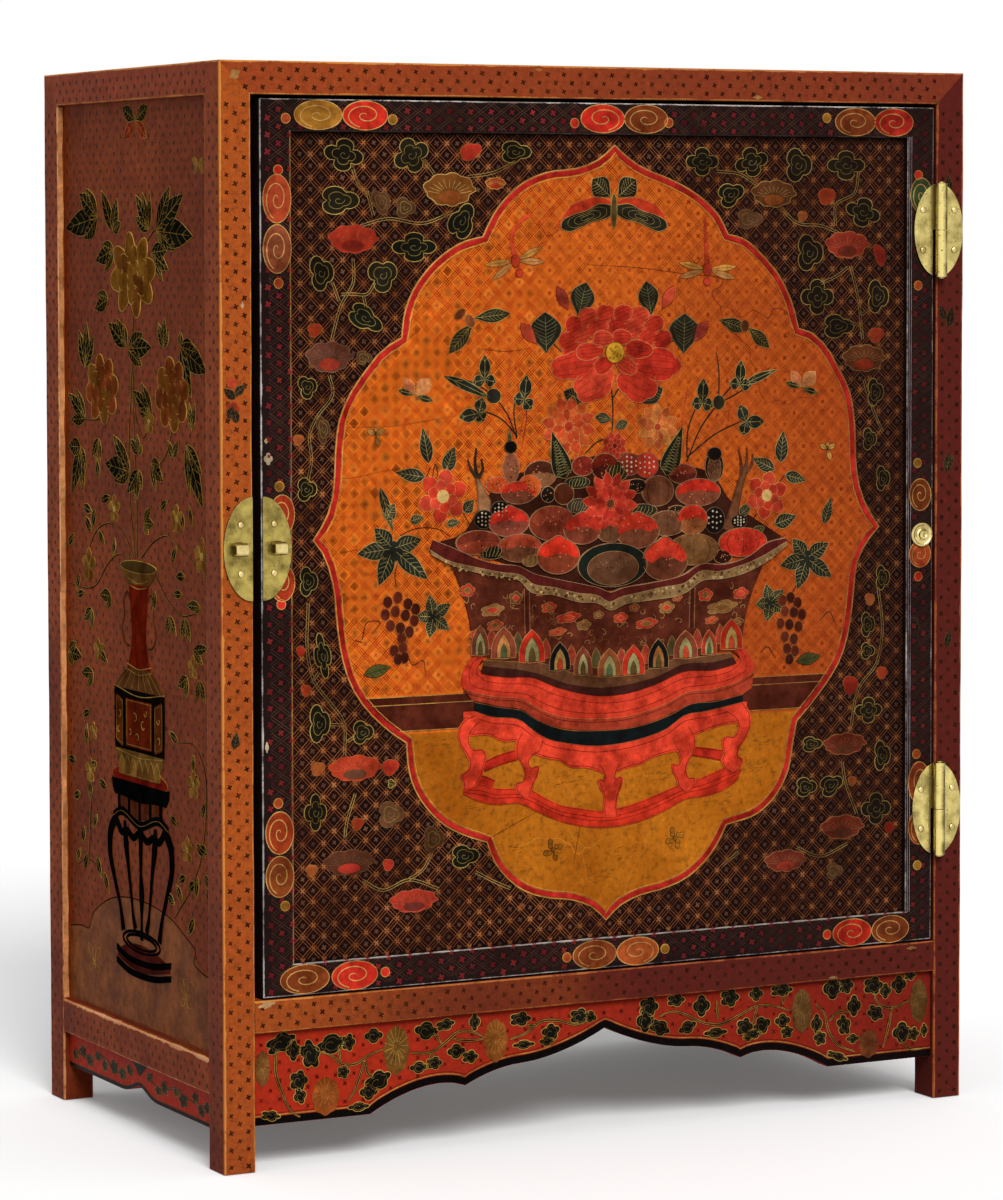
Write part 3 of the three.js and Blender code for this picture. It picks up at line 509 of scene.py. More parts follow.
def timber(look):
    # A bar whose section is a rectangle with rounded corners, carried along one way. The rounding swells and
    # shrinks along the bar as wear does, and each end is cut back to the mitre where the bars meet.
    low, high = np.array(look["low"], float), np.array(look["high"], float)
    along = look["along"]
    side, up = [way for way in range(3) if way != along]
    steps = max(int((high[along] - low[along]) / 9), 6)
    share = np.linspace(0, 1, steps)
    swells = ((1.6, 0.23), (2.2, 0.61), (3, 1.37))
    wave = sum(np.sin(share * steps * f + chance.uniform(0, 6)) / n for n, f in swells)
    radius = look["round"] * (1 + 0.35 * wave)[:, None]
    signs = [(1, 1), (-1, 1), (-1, -1), (1, -1), (1, 1)]
    face = np.array([1.8, 4.5])
    ringX, ringY, arris, wear = [], [], [], []
    for number, ((sx, sy), (nextX, nextY)) in enumerate(zip(signs[:-1], signs[1:])):
        turn = np.radians(90 * number + np.array([0, 30, 60, 90]))[None]
        cornerX, farX = (high[side] if sign > 0 else low[side] for sign in (sx, nextX))
        cornerY, farY = (high[up] if sign > 0 else low[up] for sign in (sy, nextY))
        span = abs(farX - cornerX) + abs(farY - cornerY)
        onFace = np.concatenate([face, [span / 2], span - face[::-1]]) / span
        straightX = np.repeat(cornerX + (farX - cornerX) * onFace[None], steps, 0)
        straightY = np.repeat(cornerY + (farY - cornerY) * onFace[None], steps, 0)
        ringX += [cornerX + radius * (np.cos(turn) - sx), straightX]
        ringY += [cornerY + radius * (np.sin(turn) - sy), straightY]
        here, there = look["wear"].get((sx, sy), 0.3), look["wear"].get((nextX, nextY), 0.3)
        arris.append([0, 0, 0, 0, *face, min(span / 2, 12), *face[::-1]])
        wear.append([here] * 6 + [(here + there) / 2] + [there] * 2)
    section = np.stack([np.concatenate(ringX, 1), np.concatenate(ringY, 1)], -1)
    middle = (low + high)[[side, up]] / 2
    whole = np.concatenate([section, np.broadcast_to(middle, (steps, 1, 2))], 1)
    a, b, gap = whole[..., 0], whole[..., 1], 0.12  # each end stands this far from its neighbour
    cut = look["cut"](a, b) + gap
    points = np.zeros(whole.shape[:2] + (3,))
    length = high[along] - low[along] - cut - look["cutEnd"](a, b) - gap
    points[..., along] = low[along] + cut + share[:, None] * length
    points[..., side], points[..., up] = a, b
    verts, faces = skin(points[None, :, :-1], points[None, 0, -1], points[None, -1, -1])
    values = {
        "arris": np.concatenate([np.tile(np.concatenate(arris), steps), [9, 9]]),
        "wear": np.concatenate([np.tile(np.concatenate(wear), steps), [0, 0]]),
    }
    place = verts[0] - [wide / 2, ahead, 0]
    own = look["material"], look["body"], look["slot"]
    piece = addPiece(look["name"] + "_worn", place, faces[0], *own, values)
    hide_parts(look["name"])


# Case timbers. wear is how far each long arris is rubbed, by the two sides that it lies between, such as
# (-1, -1) for left and front.
postWide, postDeep, railTall = case["post"]
fromSide = lambda x: np.minimum(x, wide - x) / postWide
fromFace = lambda y: np.minimum(y, deep - y) / postDeep
fromTop = lambda z: (tall - z) / railTall
square = lambda a, b: np.zeros_like(a)
postEnd = lambda a, b: railTall * np.maximum(fromSide(a), fromFace(b))
frontMitre = lambda a, b: postWide * np.maximum(fromFace(a), fromTop(b))
sideMitre = lambda a, b: postDeep * np.maximum(fromSide(a), fromTop(b))
red = {"material": "caseLacquer", "body": "case", "slot": "red_lacquer", "round": 0.9,
       "cut": square, "cutEnd": square}
brown = {**red, "material": "backLacquer"}
topRail = {**red, "material": "topLacquer"}
acrossPlaces = (("left", 0, -1), ("right", wide - postWide, 1))
depthPlaces = (("front", 0, -1), ("back", deep - postDeep, 1))
for across, x, sx in acrossPlaces:
    for depth, y, sy in depthPlaces:
        outer, inner = (0.85, 0.3) if depth == "front" else (0.3, 0.5)
        base = red if depth == "front" else brown
        timber({**base, "name": f"post_{depth}_{across}", "along": 2, "round": 1.1,
                "low": (x, y, 0), "high": (x + postWide, y + postDeep, tall), "cutEnd": postEnd,
                "wear": {(sx, sy): outer, (-sx, sy): 0.35, (sx, -sy): inner}})
for name, y, sy in depthPlaces:
    timber({**topRail, "name": f"rail_top_{name}", "along": 0, "low": (0, y, tall - railTall),
            "high": (wide, y + postDeep, tall), "wear": {(sy, 1): 0.8, (sy, -1): 0.45},
            "cut": frontMitre, "cutEnd": frontMitre})
for name, x, sx in acrossPlaces:
    timber({**topRail, "name": f"rail_top_{name}", "along": 1, "low": (x, 0, tall - railTall),
            "high": (x + postWide, deep, tall), "wear": {(sx, 1): 0.8, (sx, -1): 0.4},
            "cut": sideMitre, "cutEnd": sideMitre})
for name, y in (("front", 0), ("back", deep - 22)):
    timber({**red, "name": f"rail_bottom_{name}", "along": 0, "low": (postWide, y, 98),
            "high": (wide - postWide, y + 22, 121), "wear": {(-1, -1): 0.3, (-1, 1): 0.35}})
for name, x, sx in (("left", 0, -1), ("right", wide - 20, 1)):
    timber({**brown, "name": f"rail_bottom_{name}", "along": 1, "low": (x, postDeep, 53),
            "high": (x + 20, deep - postDeep, 78), "wear": {(sx, 1): 1.2}})

(doorLeft, doorFoot), (doorRight, doorHead) = door["low"], door["high"]
stile, rail = door["stile"], door["rail"]
stileCut = lambda a, b: rail * (np.minimum(a - doorLeft, doorRight - a) / stile)
railCut = lambda a, b: stile * (np.minimum(b - doorFoot, doorHead - b) / rail)
black = {"material": "doorLacquer", "body": "door", "slot": "dark_lacquer", "round": 0.5}
for name, x, wear in (("left", doorLeft, {(-1, -1): 0.42, (1, -1): 0.1}),
                      ("right", doorRight - stile, {(1, -1): 0.2, (-1, -1): 0.22})):
    timber({**black, "name": f"door_stile_{name}", "along": 2, "low": (x, 0, doorFoot),
            "high": (x + stile, door["thick"], doorHead), "wear": wear, "cut": stileCut, "cutEnd": stileCut})
for name, z, wear in (("bottom", doorFoot, {(-1, -1): 0.3, (-1, 1): 0.5}),
                      ("top", doorHead - rail, {(-1, 1): 0.4, (-1, -1): 0.1})):
    timber({**black, "name": f"door_rail_{name}", "along": 0, "low": (doorLeft, 0, z),
            "high": (doorRight, door["thick"], z + rail), "wear": wear, "cut": railCut, "cutEnd": railCut})
print("timbers made")


# Florets: a star of twelve points whose radius is a half at four rounded petals and a fifth between them
markAngles = np.radians([quarter * 90 + turn for quarter in range(4) for turn in (-17, 17, 45)])
markShape = np.stack([np.cos(markAngles), np.sin(markAngles)], 1) * np.tile([0.5, 0.5, 0.22], 4)[:, None]
diamondShape = np.array([[0.5, 0], [0, 0.5], [-0.5, 0], [0, -0.5]])


def field(spanU, spanV, pitchU, pitchV, test=None):
    # Points in rows pitchV apart, every other row moved by half of pitchU, where test(u, v) holds
    columns = np.arange(int((spanU[1] - spanU[0]) / pitchU) + 2)
    rows = np.arange(int((spanV[1] - spanV[0]) / pitchV) + 1)
    column, row = np.meshgrid(columns, rows)
    u, v = spanU[0] + (column + 0.5 * (row % 2)) * pitchU, spanV[0] + row * pitchV
    kept = u <= spanU[1]
    u, v = u[kept], v[kept]
    points = np.stack([u, v], 1)
    return points[test(u, v)] if test else points


def studs(centres, outline, size, base, height, turn=0.0):
    # Low pyramids over a small outline: its points lie at base, its middle at base + height
    sizes = size * chance.uniform(0.86, 1.1, len(centres))
    turns = turn + chance.uniform(-7, 7, len(centres))
    flat = placed(outline, np.column_stack([centres, sizes, sizes, turns]))[:, None]
    points, faces = skin(raised(flat, np.array(base)), poles(centres, sunk), poles(centres, base + height))
    return points, faces, np.concatenate([np.full(len(outline), 0.6), [0, 0]])


def lattice(spanU, spanV, pitchU, pitchV, test, offsets, step=1.5):
    # Two families of slanting lines that part the points of a field from each other. A line's place is
    # (k + 1/2) * gap + offset along its normal, and each line is cut to the runs where test(u, v) holds.
    corners = np.array([[u, v] for u in spanU for v in spanV])
    anchor = corners[0]
    lines = []
    for slope in (1, -1):
        way = np.array([pitchU / 2, slope * pitchV])
        way = way / np.linalg.norm(way)
        normal = np.array([-way[1], way[0]])
        gap = abs(normal @ np.array([pitchU / 2, -slope * pitchV]))
        reach, run = (corners - anchor) @ normal, (corners - anchor) @ way
        k = np.arange(math.floor(reach.min() / gap) - 1, math.ceil(reach.max() / gap) + 1) + 0.5
        rows = (k[:, None] * gap + np.array(offsets)).ravel()
        s = np.arange(run.min(), run.max(), step)
        at = anchor + rows[:, None, None] * normal + s[None, :, None] * way
        u, v = at[..., 0], at[..., 1]
        inside = (u > spanU[0]) & (u < spanU[1]) & (v > spanV[0]) & (v < spanV[1]) & test(u, v)
        change = np.diff(np.pad(inside.astype(int), ((0, 0), (1, 1))), axis=1)
        row, start = np.nonzero(change == 1)
        end = np.nonzero(change == -1)[1] - 1
        lines.append(np.stack([at[row, start], at[row, end]], 1)[end - start > 1])
    return np.concatenate(lines)


# Diaper marks on the case: rows of small dark florets, brushed on. A field is a span of u and a span of v.
marks = {"size": 4.1, "proud": 0.08, "pitch": (13.2, 6.1), "colours": "4a2410 40200e 542a14"}
postFields = [((5.4, 19.5), (5, 754)), ((wide - 18.6, wide - 4.5), (5, 754))]
frontFields = [*postFields, ((20, wide - 22), (761.5, 775)), ((30, wide - 28), (103.5, 117))]
sideFields = [((4.6, 24), (5, 754)), ((deep - 23.4, deep - 3), (5, 754)), ((26, deep - 26), (760, 777)),
              ((30, deep - 28), (58, 74))]
topFields = [((14, wide - 12), (5, 22)), ((14, wide - 12), (deep - 22, deep - 5)),
             ((5.4, 20), (28, deep - 26)), ((wide - 18.6, wide - 5), (28, deep - 26))]
for name, face, fields in (
        ("front", caseFront, frontFields), ("left", sideFace(-1, 0, "red_lacquer"), sideFields),
        ("right", sideFace(1, 0, "red_lacquer"), sideFields), ("top", topFace, topFields)):
    pen, = newPens(1)
    for spans in fields:
        florets = studs(field(*spans, *marks["pitch"]), markShape, marks["size"], 0.03, marks["proud"], 30)
        lay(pen, florets, marks["colours"])
    finishPen(pen, f"case_marks_{name}", face, "markLacquer")
print("case marks made")

# Door frame: red florets in a net of fine double lines, with pairs of swirls
frameNet = {"pitch": (16.7, 5.9), "size": 4.9, "florets": "802228 6e1c20 882c28", "lines": "5e3a2e 684432"}
left, right, low, high = (53.9, 564.6, 145.4, 731.1)  # the frame's inner edges
onFrame = lambda u, v: (u < left - 1) | (u > right + 1) | (v < low - 1) | (v > high + 1)
# The florets stop at u = 580, so a bare black strip runs down the door's right edge: painted shade beside the
# gap on the hinge side
clear = lambda u, v: onFrame(u, v) & (u < 580) & (v < 750.5)
pen, = newPens(1)
florets = field((36, 586), (126.6, 752), *frameNet["pitch"], clear)
lay(pen, studs(florets, markShape, frameNet["size"], 0.05, 0.12, 30), frameNet["florets"])
netLines = lattice((36, 586.4), (126.6, 753), *frameNet["pitch"], onFrame, (-0.9, 0.9))
lay(pen, ribbon(netLines, 0.5, 0.07), frameNet["lines"])
finishPen(pen, "door_frame_marks", doorFace, "markLacquer")

# A swirl is an oval of colour with a gold ring round it and a gold spiral r = angle / 3.4 pi inside it
swirlGold = "d8a860"
swirls = [  # u, v, width, height, colour, and 1, or -1 where the spiral runs the other way
    (75, 742.6, 37, 20.5, "a8742a", 1), (111.5, 742.6, 35, 20.5, "cc3022", 1),
    (302, 742.4, 36, 20.5, "d23022", -1), (338, 742.4, 36, 20.5, "86401f", 1),
    (517, 742.2, 35, 20.5, "86401f", 1), (551, 742.2, 34, 20.5, "cc3426", 1),
    (43, 684, 21.5, 34, "b4482a", 1), (43, 649, 21.5, 34, "8e4a30", 1), (43, 239, 21.5, 30, "a8401f", 1),
    (43, 208, 21.5, 29, "8a4420", 1), (62, 134, 38, 20.5, "8c4420", 1), (101, 133.6, 36, 20.5, "cc3022", 1),
    (295, 133.4, 36, 20.5, "86401f", 1), (331, 133.2, 35, 20.5, "a85026", -1),
    (516, 133, 34, 20.5, "cc3022", 1), (550, 133, 33, 20.5, "86401f", 1), (575.5, 688, 19, 26, "3c5030", 1),
    (575.5, 462, 19, 24, "8a4420", 1), (575.5, 417, 19, 20, "b44a26", 1),
    (575.5, 243, 19, 32, "8a3a20", -1), (575.5, 209, 19, 26, "a84a24", 1), (46, 463, 19, 28, "a83820", 1),
    (46, 415, 19, 26, "a83820", 1)]
swirlPen, swirlLines = newPens(2)
spiralTurn = np.linspace(0.2, 3.4, 34) * np.pi
radius = spiralTurn / (3.4 * np.pi) * 0.46
for u, v, width, height, colour, flip in swirls:
    whole = placed(oval(28), [(u, v, width, height)])
    spiral = np.stack([radius * np.cos(spiralTurn) * flip, radius * np.sin(spiralTurn)], 1)
    spiral = placed(spiral, [(u, v, width * 0.92, height * 0.92)])
    lay(swirlPen, blot(whole, 0.22, crown=0.8), colour)
    lay(swirlLines, ribbon(spiral, 1.2, 0.2, 0.3, (0.5, 1)), swirlGold)
    lay(swirlLines, ribbon(closed(whole), 0.9, 0.18, 0.14), swirlGold)
dots = [(50, 740), (133, 740), (279, 739), (357, 740), (492, 745), (44, 704), (44, 625), (44, 483),
    (45, 400), (42, 260), (47, 187), (573, 703), (573, 620), (573, 486), (574, 400), (573, 265), (574, 180),
    (125, 134), (272, 133), (354, 133), (494, 133)]
dots = placed(oval(14), [(u, v, 7, 7) for u, v in dots])
lay(swirlPen, blot(dots, 0.2), "b85028 9a6a26 d03426")
lay(swirlLines, ribbon(closed(dots), 0.8, 0.15, 0.12), "d0a050")
finishPen(swirlPen, "door_frame_swirls", doorFace, "filledLacquer")

# The ledge line round the panel, on the inner edge of the frame: a colour and a number of lines a side, from
# the bottom round by the right. The pale lines at the bottom and right are painted highlight on the frame's
# lit inner edges, the dark line at the top is painted shadow under the frame, and the line at the left is
# gold.
edge = [(left - 0.6, low - 0.6), (right + 0.6, low - 0.6), (right + 0.6, high + 0.6),
    (left - 0.6, high + 0.6)]
for number, (colour, lines) in enumerate((("b4aaa2", 1), ("c8b8c0", 2), ("3c2c24", 1), ("b07c3c", 1))):
    side = np.stack([edge[number], edge[(number + 1) % 4]])
    for line in range(lines):
        lay(swirlLines, ribbon(curve(side + [1.8 * line, 0], 30), 0.9 / lines, 0.1, 0.02), colour)
finishPen(swirlLines, "door_frame_gold", doorFace, "filledLacquer")
print("door frame made")

# The picture's outline: twelve arcs that meet in cusps, from the top down the left side and round
arcs = [[314.7,723.7, 300,712.5, 283,706.7, 260,704, 241.7,697.5, 225,685, 215,673, 206.7,657.5],
    [206.7,657.5, 191.7,654, 175,645, 160,631.7, 150,618, 144,603, 141.7,585.8],
    [141.7,585.8, 126.7,577.5, 115,565, 100,545, 93,530, 90,513, 88.8,491.7, 87.5,476.7, 82.5,460,
     71.7,443.8],
    [71.7,443.8, 80,433, 85,420, 88,406.7, 90,385, 94,360, 100,341.7, 106.7,330, 116.7,318, 131.7,305,
     144.7,296.3], [144.7,296.3, 145.8,280, 150,265, 158,251.7, 173,236.7, 191.7,226.7, 209,220.8],
    [209,220.8, 214,208, 223,196, 240,183, 258,177, 280,173.5, 296,167, 307,157],
    [307,157, 319,167, 334,173, 356,177, 374,183, 391,195, 402,208, 409,220.8],
    [409,220.8, 436.7,228, 453,241.7, 463,260, 466.7,280, 470,295],
    [470,295, 485,310, 498,325, 508,340, 515,360, 519,385, 520,395, 523,413, 531.7,428, 542,438.7],
    [542,438.7, 535,448, 526.7,463, 521.7,483, 520.8,506.7, 519,526.7, 515,543, 505,560, 495,575,
     481.7,585.8, 470.8,589], [470.8,589, 465,608, 455,626.7, 440,643, 423,655.8, 410,659],
    [410,659, 403,671.7, 390,684, 373,694, 356.7,700.8, 340,706.7, 323,716.7, 314.7,723.7]]
outline = np.roll(np.concatenate([curve(arc, 16)[:-1] for arc in arcs]), -8, 0)  # starts away from a cusp
outlineMiddle = np.array([307.0, 440.0])
spoke = outline - outlineMiddle
spokeAngle, spokeLength = np.arctan2(spoke[:, 1], spoke[:, 0]), np.linalg.norm(spoke, axis=1)


def inPicture(u, v, margin=0.0):
    # A point is inside where its distance from the middle is under the outline's at that angle
    u, v = u - outlineMiddle[0], v - outlineMiddle[1]
    return np.hypot(u, v) < np.interp(np.arctan2(v, u), spokeAngle, spokeLength, period=2 * np.pi) - margin


def border(distance, width, height):
    # A line beside the outline: each point goes along the normal of the chord through its neighbours
    along = np.roll(outline, -1, 0) - np.roll(outline, 1, 0)
    along = along / np.linalg.norm(along, axis=1, keepdims=True)
    path = outline + distance * np.stack([-along[:, 1], along[:, 0]], 1)
    return ribbon(closed(path), width, height, 0.34)


# The panel's ground: dark diamonds parted by bands of fine lines
panel = {"u": (54.6, 563.8), "v": (146.2, 730.4), "pitch": (16.5, 8.25)}
panelField = lambda test, moved=0: field(
    (panel["u"][0] + moved, panel["u"][1]), panel["v"], *panel["pitch"], test)
panelNet = lambda test, offsets: lattice(panel["u"], panel["v"], *panel["pitch"], test, offsets)
outside = lambda u, v: ~inPicture(u, v, 3)
pen, = newPens(1)
lay(pen, ribbon(panelNet(outside, (-2.0, 0, 2.0)), 0.62, 0.1), "9c5830 a86438 8c4c28")
lay(pen, studs(panelField(outside), markShape, 4.0, 0.03, 0.12, 30), "6c4630 5c3c2c")
lay(pen, studs(panelField(outside, 8.25), markShape, 4.4, 0.12, 0.1, 45), "a8683a 94562e")
finishPen(pen, "door_ground_lattice", panelFace, "markLacquer")

# The picture's own ground, its floor, its net, and its red and gold border
for name, shape, height, middle, material in (
        ("picture_ground", outline, 0.3, outlineMiddle, "pictureGround"),
        ("picture_floor", outline[outline[:, 1] < 305], 0.34, np.array([307.0, 262.0]), "floorLacquer")):
    pen, = newPens(1)
    lay(pen, blot(shape, height, crown=0, middle=middle), "ffffff")
    finishPen(pen, name, panelFace, material)
within = lambda u, v: inPicture(u, v, 5) & (v > 331)
leftward = lambda u, v: within(u, v) & (u + 0.3 * (440 - v) < 250 + 60 * np.sin(v / 37))
pen, = newPens(1)
lay(pen, ribbon(panelNet(within, (-1.5, 0, 1.5)), 0.6, 0.06, 0.3), "b04018 b84818 a83c16")
lay(pen, ribbon(panelNet(leftward, (-1.5, 0, 1.5)), 0.75, 0.1, 0.3), "b03014 b83618")
lay(pen, studs(panelField(leftward), diamondShape, 8.6, 0.31, 0.02), "d87022 d0681e dc7828")
lay(pen, studs(panelField(within), markShape, 3.4, 0.34, 0.08, 45), "c4541e bc4a20")
finishPen(pen, "picture_lattice", panelFace, "markLacquer")

pen, goldPen = newPens(2)
lay(pen, band([(133, 304.5), (480, 304.5)], [(109, 329.7), (497, 329.7)], 0.1, 0.34, 0), "582518")
lay(pen, border(2.9, 5.0, 0.4), "c02a26")
finishPen(pen, "picture_border", panelFace, "filledLacquer")
for v, start, end in ((329.7, 111, 496), (324.0, 115, 492), (305.0, 136, 477)):  # the floor's far edge
    lay(goldPen, ribbon(curve([(start, v), (end, v)], 24), 0.9, 0.12, 0.44), "d2a050")
lay(goldPen, border(0.2, 1.0, 0.35), "d8a45c")
lay(goldPen, border(5.7, 1.0, 0.35), "dca450")
print("door panel's ground made")

# Scrolling leaves and flowers round the picture: leaves are u, v, width, height, turn, by number of lobes
scrollFill, = newPens(1)
scrollLeaves = {
    3: [(233, 718, 24, 15), (93, 683, 29, 19), (190, 668, 26, 19, 60), (79, 632, 18, 24, 10),
        (127, 630, 22, 22, 30), (113, 600, 28, 16, -30), (67, 480, 15, 16), (68, 552, 14, 16, 20),
        (68, 415, 14, 20), (76, 314, 16, 26), (110, 306, 16, 16), (191, 212, 22, 16), (133, 268, 6, 6),
        (470, 710, 22, 24), (412, 688, 22, 17, 20), (480, 645, 22, 26), (540, 612, 18, 24),
        (505, 590, 26, 17), (538, 540, 14, 20), (533, 505, 12, 16), (545, 475, 12, 18), (545, 400, 12, 18),
        (532, 365, 12, 18), (532, 345, 12, 12), (545, 265, 14, 22), (483, 277, 17, 11),
        (500, 245, 20, 15, 20), (478, 245, 18, 14)],
    4: [(97, 715, 28, 21, -10), (150, 715, 26, 23, 25), (152, 650, 32, 19), (79, 362, 12, 30, 10),
        (73, 251, 16, 24), (388, 712, 25, 19), (430, 712, 26, 20, 15), (512, 710, 30, 20),
        (527, 675, 28, 20, -15), (487, 612, 26, 24), (533, 300, 22, 18), (540, 225, 24, 22)]}
brownLeaves = {3: [(80, 522, 10, 20, 10), (132, 246, 20, 18), (166, 226, 16, 18), (126, 682, 13, 18, 30),
    (145, 678, 15, 14), (428, 670, 22, 14), (112, 572, 12, 9), (503, 180, 14, 12)]}
grow = np.linspace(0.2, 1, 20)[:, None]
leafCurl = 0.16 * np.stack([np.cos(spiralTurn[:20]), np.sin(spiralTurn[:20])], 1) * grow
for leavesOf, colours, gold in ((scrollLeaves, "1c1a10 221e14 181a12", "c4a858"),
                                (brownLeaves, "5a3a24 6a442c", "7c6040")):
    for lobes, rows in leavesOf.items():
        leaf = placed(ruffled(lobes, 0.42), resized(rows, 1.1, 1.1))
        lay(scrollFill, blot(leaf, 0.2, 0.02), colours)
        lay(goldPen, ribbon(closed(leaf), 0.9, 0.24, 0.04), gold)
        inner = closed(placed(ruffled(lobes, 0.34), resized(rows, 0.66, 0.66)))
        lay(goldPen, ribbon(inner, 0.7, 0.12, 0.28), "94803f")
        lay(goldPen, ribbon(placed(leafCurl, rows), 0.6, 0.12, 0.34), "8a7a48")

vines = [[110,665, 130,670, 160,667, 183,675], [115,690, 120,672], [195,700, 215,703, 235,712],
    [104,642, 104,625, 95,610, 87,585], [104,705, 108,695, 115,688], [160,712, 168,702],
    [95,617, 104,617, 115,617, 121,625], [112,616, 114,607], [88,625, 93,612],
    [85,560, 88,548, 75,530, 70,520, 71,500, 68,485], [68,400, 68,360, 72,345, 85,328, 95,315, 96,290],
    [72,345, 76,350], [95,312, 84,313], [98,300, 104,303], [104,262, 97,240, 96,232],
    [165,216, 158,205, 146,198], [400,705, 420,703, 435,695], [455,678, 470,667, 490,665, 510,658],
    [503,665, 503,680, 520,690, 523,705], [516,635, 522,615, 527,580], [528,550, 535,530, 545,510],
    [541,395, 545,355, 540,335, 525,318, 517,285], [510,262, 512,250, 523,222], [490,622, 505,628, 514,634],
    [536,604, 525,598], [512,594, 524,590], [200,200, 215,192, 228,186],
    [110,200, 125,192, 146,198, 170,190], [420,200, 405,190], [470,200, 490,192, 515,200]]
for path in vines:  # each vine is a pair of lines
    middle = curve(path, 22)
    aside = besides(middle, 0.85)
    lay(goldPen, ribbon([middle + aside, middle - aside], 0.65, 0.18, 0.08), "b89c58")

# Flowers seen from the side: a scalloped fan r = 0.86 + 0.14 |cos 4.5 a| ^ 0.8 over a shallow cup, with ribs
flowers = [  # u, v, width, height, petals, heart, line
    (180, 690, 43, 26, "7c4a20", "8c4a20", "cfa85c"), (104, 655, 41, 22, "a83420", "7c2418", "b84c38"),
    (217, 695, 17, 9, "a8482a", "c0401e", "d8a050"), (85, 572, 38, 24, "6c4030", "b4402c", "8c6450"),
    (104, 280, 44, 20, "b84028", "6c4430", "d86038"), (99, 213, 42, 20, "5c3424", "b4382a", "7c5438"),
    (449, 688, 40, 22, "6c4024", "8c4a20", "b8904c"), (513, 650, 40, 22, "a83a28", "6c2c1c", "c87848"),
    (528, 565, 40, 22, "7c4426", "a83a20", "b88c50"), (512, 275, 40, 18, "8c3a26", "6c3c24", "b87848"),
    (510, 212, 40, 20, "803420", "5c3020", "a87048"), (150, 182, 40, 18, "a83624", "70302a", "c06048"),
    (460, 190, 38, 18, "7c3424", "9c3826", "a87048"), (238, 172, 4, 4, "7c3424", "9c3826", "a87048")]
fan = polar(lambda a: 0.5 * (0.86 + 0.14 * np.abs(np.cos(4.5 * a)) ** 0.8)
            * np.where(np.sin(a) < 0, 0.86, 1.0), 40)
ribTurns, ribReach = np.radians(np.linspace(15, 165, 11))[:, None], np.array([0.2, 0.42])[None]
for u, v, width, height, petals, heart, line in flowers:
    whole = placed(fan, [(u, v, width, height)])
    lay(scrollFill, blot(whole, 0.3, 0.05), petals)
    lay(goldPen, ribbon(closed(whole), 0.9, 0.25, 0.18), line)
    cup = placed(oval(20), [(u, v - height * 0.18, width * 0.42, height * 0.36)])
    lay(scrollFill, blot(cup, 0.25, 0.35), heart)
    ribs = [u + width * ribReach * np.cos(ribTurns), v - height * 0.12 + height * ribReach * np.sin(ribTurns)]
    lay(goldPen, ribbon(np.stack(ribs, -1), 0.5, 0.12, 0.5), line)
buds = [(197, 718, 19, 12), (74, 592, 12, 10), (61, 515, 9, 8), (62, 366, 7, 8), (66, 338, 8, 9),
    (75, 282, 12, 10), (132, 280, 14, 12), (106, 241, 10, 9), (70, 210, 10, 9), (130, 210, 9, 9),
    (495, 687, 16, 13), (474, 672, 9, 8), (542, 643, 10, 18), (539, 583, 14, 12), (534, 384, 9, 10),
    (517, 320, 14, 15), (545, 328, 10, 10), (519, 247, 8, 8), (552, 210, 9, 9)]
buds = placed(ruffled(3, 0.25, 20), buds, 20)
lay(scrollFill, blot(buds, 0.26, 0.05), "c03a28 b84426 a85a2c")
lay(goldPen, ribbon(closed(buds), 0.6, 0.16, 0.1), "c88848")
finishPen(scrollFill, "door_scroll_colours", panelFace, "scrollLacquer")
print("scrolls made")

# The picture: a bowl of fruit on a low stand, a peony, sprays of leaves, and insects. finePen takes every
# fine line, here and then on the aprons, the sides and the posts.
fruitPen, leafPen, flowerPen, potPen, standPen, insectPen, finePen = newPens(7)
disc = oval(26)
grain = disc[::4]


def fine(paths, width, height, base, colour, ends=(1, 1)):
    # A raised line in the pen that takes the fine lines
    lay(finePen, ribbon(paths, width, height, base, ends), colour)


def outlined(pen, outlines, colour, line, height=0.25, base=0.34, width=0.8, crown=0.6):
    # A filled shape with a fine raised line round it
    lay(pen, blot(outlines, height, base, crown), colour)
    if line:
        fine(closed(outlines), width, height + 0.08, base, line)


def toTips(middle, tips, width, start=0.0):
    # Rows for leaves or petals that run from the middle to each tip; tips are u, v, u, v
    way = np.array(tips, float).reshape(-1, 2) - middle
    length = np.linalg.norm(way, axis=1)
    turn = np.degrees(np.arctan2(way[:, 1], way[:, 0]))
    foot = middle + way * start
    return np.column_stack([foot, length * (1 - start), np.broadcast_to(width, length.shape), turn])


def leaves(pen, rows, colours, line="b8a868", veins=5, bend=0.0, fat=0.75, base=0.5):
    # Pointed leaves with a midrib and slanting side veins, all in fine gold
    outlined(pen, placed(leafShape(bend, fat), rows), colours, line, 0.2, base, 0.6)
    t = np.linspace(0.06, 0.9, 8)
    fine(placed(np.stack([t, bend * 4 * t * (1 - t)], 1), rows), 0.55, 0.1, base + 0.3, line, (1, 0.4))
    for t in np.linspace(0.2, 0.72, veins):
        bow, reach = bend * 4 * t * (1 - t), 0.36 * np.sin(np.pi * (t + 0.06) ** fat)
        for way in (1, -1):
            vein = np.array([[t, bow], [t + 0.1, bow + way * reach * 0.8], [t + 0.15, bow + way * reach]])
            fine(placed(vein, rows), 0.4, 0.08, base + 0.24, line)


def ring(middle, count, length, width, first=0.0, gap=0.0):
    # Rows for petals set evenly round a middle, their feet gap away from it
    turn = first + np.arange(count) * 360 / count
    foot = np.array(middle) + gap * np.stack([np.cos(np.radians(turn)), np.sin(np.radians(turn))], 1)
    return np.column_stack([foot, np.full(count, length), np.full(count, width), turn])


ink, goldLine = "262c22 2c3026 222820", "d0a850"
